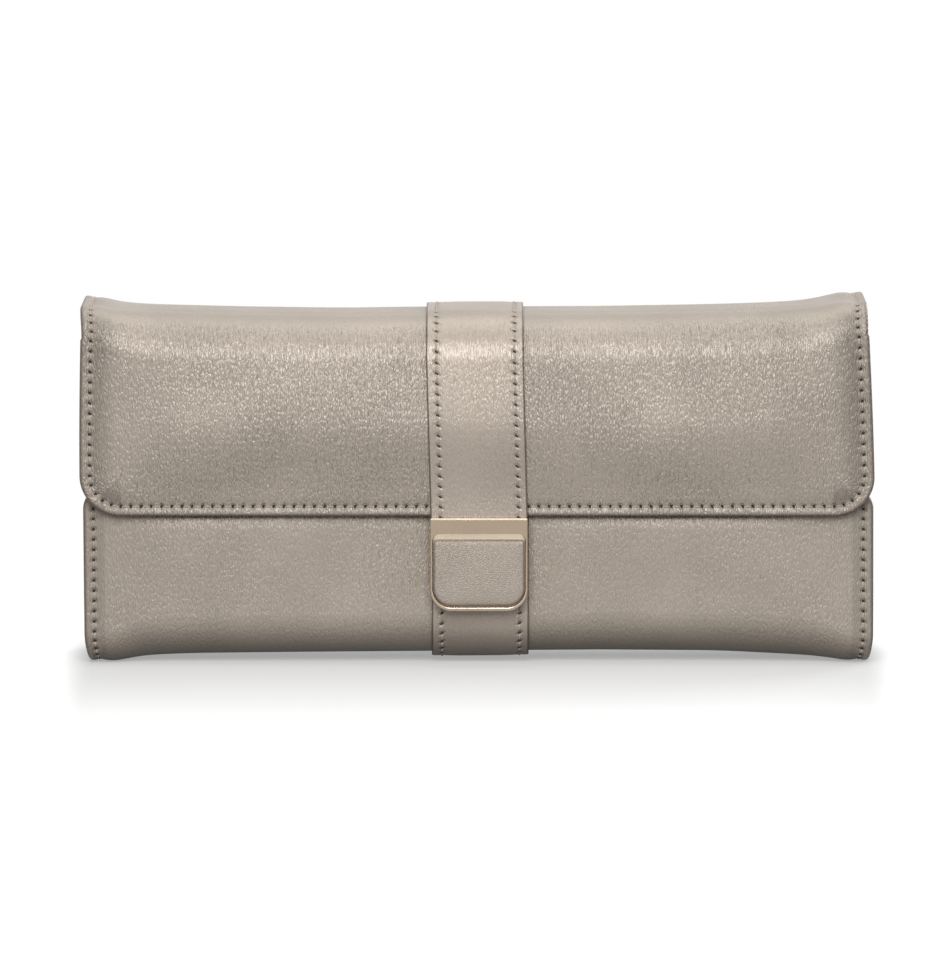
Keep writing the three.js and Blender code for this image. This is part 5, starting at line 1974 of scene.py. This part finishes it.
@dataclass
class Studio:
    """Pale floor, soft light and the camera, none of which is part of the object."""

    distance: float = 2600.0
    elevation: float = 7.0
    scale: float = 0.2945
    frame_pixels: float = 957.0
    aim_x: float = -1.5
    aim_v: float = 53.0
    sensor: float = 36.0

    def build(self) -> None:
        """Sets up the whole stage."""
        self.camera()
        self.floor()
        self.world()
        self.lamp("key", (-0.03, -0.85, 0.52), 0.5, 7.8)
        self.lamp("top", (0.0, 0.05, 0.95), 0.7, 2.8)
        self.lamp("back", (0.85, 0.8, 0.4), 0.6, 6.0)
        bpy.context.scene.view_settings.view_transform = "Standard"
        log.info("studio: camera, floor, world and three lamps")

    @staticmethod
    def hang(title: str, data: bpy.types.ID, place: Vector, target: Vector) -> Piece:
        """Puts a lamp or camera at a place in metres, facing a target."""
        item = bpy.data.objects.new(title, data)
        bpy.context.scene.collection.objects.link(item)
        item.location = place
        item.rotation_mode = "QUATERNION"
        item.rotation_quaternion = (target - place).to_track_quat("-Z", "Y")
        return item

    @staticmethod
    def lamp(title: str, place: Spot, size: float, power: float) -> None:
        """Hangs a soft square lamp that faces the object."""
        data = bpy.data.lights.new(title, "AREA")
        data.shape, data.size, data.energy = "SQUARE", size, power
        Studio.hang(title, data, Vector(place), Vector((0, 0, 0.05)))

    def camera(self) -> None:
        """Places the camera at the photograph's angle and frame."""
        data = bpy.data.cameras.new("camera")
        tilt = math.radians(self.elevation)
        back = Vector((0, -math.cos(tilt), math.sin(tilt)))
        rise = Vector((0, math.sin(tilt), math.cos(tilt)))
        aim = Vector((self.aim_x, 0, 0)) + rise * self.aim_v
        camera = self.hang("camera", data, (aim + back * self.distance) * MM, aim * MM)
        data.sensor_width = self.sensor
        width = self.frame_pixels * self.scale
        data.lens = self.sensor * (self.distance + FORM.flap_face) / width
        data.clip_start, data.clip_end = 0.05, 50.0
        bpy.context.scene.camera = camera

    @staticmethod
    def floor() -> None:
        """Lays a floor that shades into the white background and keeps the shadow.

        Its tone depends on the distance from the object's foot, in metres, and fades sooner
        beside and behind it. Rays of the camera, mirrored rays and scattered rays each meet
        a tone of their own.
        """
        floor = Bench.add("floor", bpy.ops.mesh.primitive_plane_add, size=30)
        material = bpy.data.materials.new("floor")
        material.use_nodes = True
        tree = Tree(material.node_tree)
        shader = material.node_tree.nodes["Principled BSDF"]
        shader.inputs["Roughness"].default_value = 0.9
        shader.inputs["Specular IOR Level"].default_value = 0.0
        end_of_roll, sideways, rearwards = 0.112, 15.0, 3.0
        x, y, _ = tree.split(tree.put("TexCoord").outputs["Object"])
        beside = tree.do("SUBTRACT", tree.do("ABSOLUTE", x), end_of_roll)
        beside = tree.times(tree.do("MAXIMUM", beside, 0.0), sideways)
        behind = tree.times(tree.do("MAXIMUM", y, 0.0), rearwards)
        depth = tree.do("ADD", behind, tree.do("MINIMUM", y, 0.0))
        reach = tree.put("VectorMath", {0: tree.join(beside, depth)}, operation="LENGTH")
        reach = reach.outputs["Value"]
        far = tree.span(reach, 0.05, 0.45)
        path = tree.put("LightPath").outputs
        camera = path["Is Camera Ray"]
        mirrored = tree.do("MAXIMUM", path["Is Glossy Ray"], path["Is Transmission Ray"])
        # painted shade: near the foot, scattered rays meet a dark floor, which darkens the roll's
        # underside, and mirrored rays meet a darker floor, which darkens its reflections
        bounced = tree.mix(tree.span(reach, 0.02, 0.032), grey(0.3), grey(0.82))
        near = tree.mix(mirrored, grey(0.15), bounced)
        near = tree.mix(camera, near, (0.46, 0.46, 0.455, 1))
        tree.feed(shader.inputs["Base Color"], tree.mix(far, near, grey(0)))
        # painted light: the floor glows for the camera, weakly near the foot, which lightens the
        # shadow there, and fully further off, where it is plain white; mirrored rays see a faint
        # glow near the foot and a strong one further off
        seen = tree.times(camera, tree.span(reach, 0.03, 0.25, 0.36, 1.0))
        shown = tree.times(mirrored, tree.span(far, 0.0, 1.0, 0.12, 0.85))
        strength = tree.do("MAXIMUM", seen, shown)
        glow = tree.put("Emission", {"Strength": strength})
        total = tree.put("AddShader", {0: shader.outputs[0], 1: glow.outputs[0]})
        tree.feed(material.node_tree.nodes["Material Output"].inputs["Surface"], total.outputs[0])
        floor.data.materials.append(material)

    @staticmethod
    def world() -> None:
        """Makes the background white and its light plain."""
        world = bpy.data.worlds.new("studio")
        world.use_nodes = True
        bpy.context.scene.world = world
        tree = Tree(world.node_tree)
        background = world.node_tree.nodes["Background"].inputs
        path = tree.put("LightPath").outputs
        mirrored = tree.do("MAXIMUM", path["Is Glossy Ray"], path["Is Transmission Ray"])
        seen = tree.do("MAXIMUM", path["Is Camera Ray"], mirrored)
        tree.feed(background["Strength"], tree.do("MULTIPLY_ADD", seen, 0.75, 0.25))
        background["Color"].default_value = grey(1)


def dress_nodes() -> None:
    """Gives every CAD node that is still shown its finish, and eases the edges of the metal."""
    weld, width, sharp = 0.01, 0.16, 35
    finishes = {"pale_gold": GOLD, "magnet_steel": STEEL, "board": BOARD, "bar_core": PLASTIC}
    slots = {part["node"]: part["material_slot"] for part in frame["record"]["subparts"]}
    for name, node in frame["nodes"].items():
        if not node.hide_render:
            finishes[slots[name]].dress(node)
            if slots[name] == "pale_gold":
                node.modifiers.new("weld", "WELD").merge_threshold = weld * MM
                bevel = node.modifiers.new("bevel", "BEVEL")
                bevel.width, bevel.segments = width * MM, 2
                bevel.limit_method, bevel.angle_limit = "ANGLE", math.radians(sharp)


def main() -> None:
    """Builds the stage and every part of the roll."""
    logging.basicConfig(level=logging.INFO, format="%(name)s %(message)s")
    pockets = [Pocket(title, facing) for title, facing in
               (("front_left", 1), ("front_right", 1), ("back", -1))]
    for assembly in (Studio(), COVERS, LININGS, Strap(), Clasp(), Magnets(), RingBar(),
                     NecklaceTabs(), *pockets):
        assembly.build()
    dress_nodes()


if __name__ == "__main__":
    main()
    bpy.context.view_layer.update()
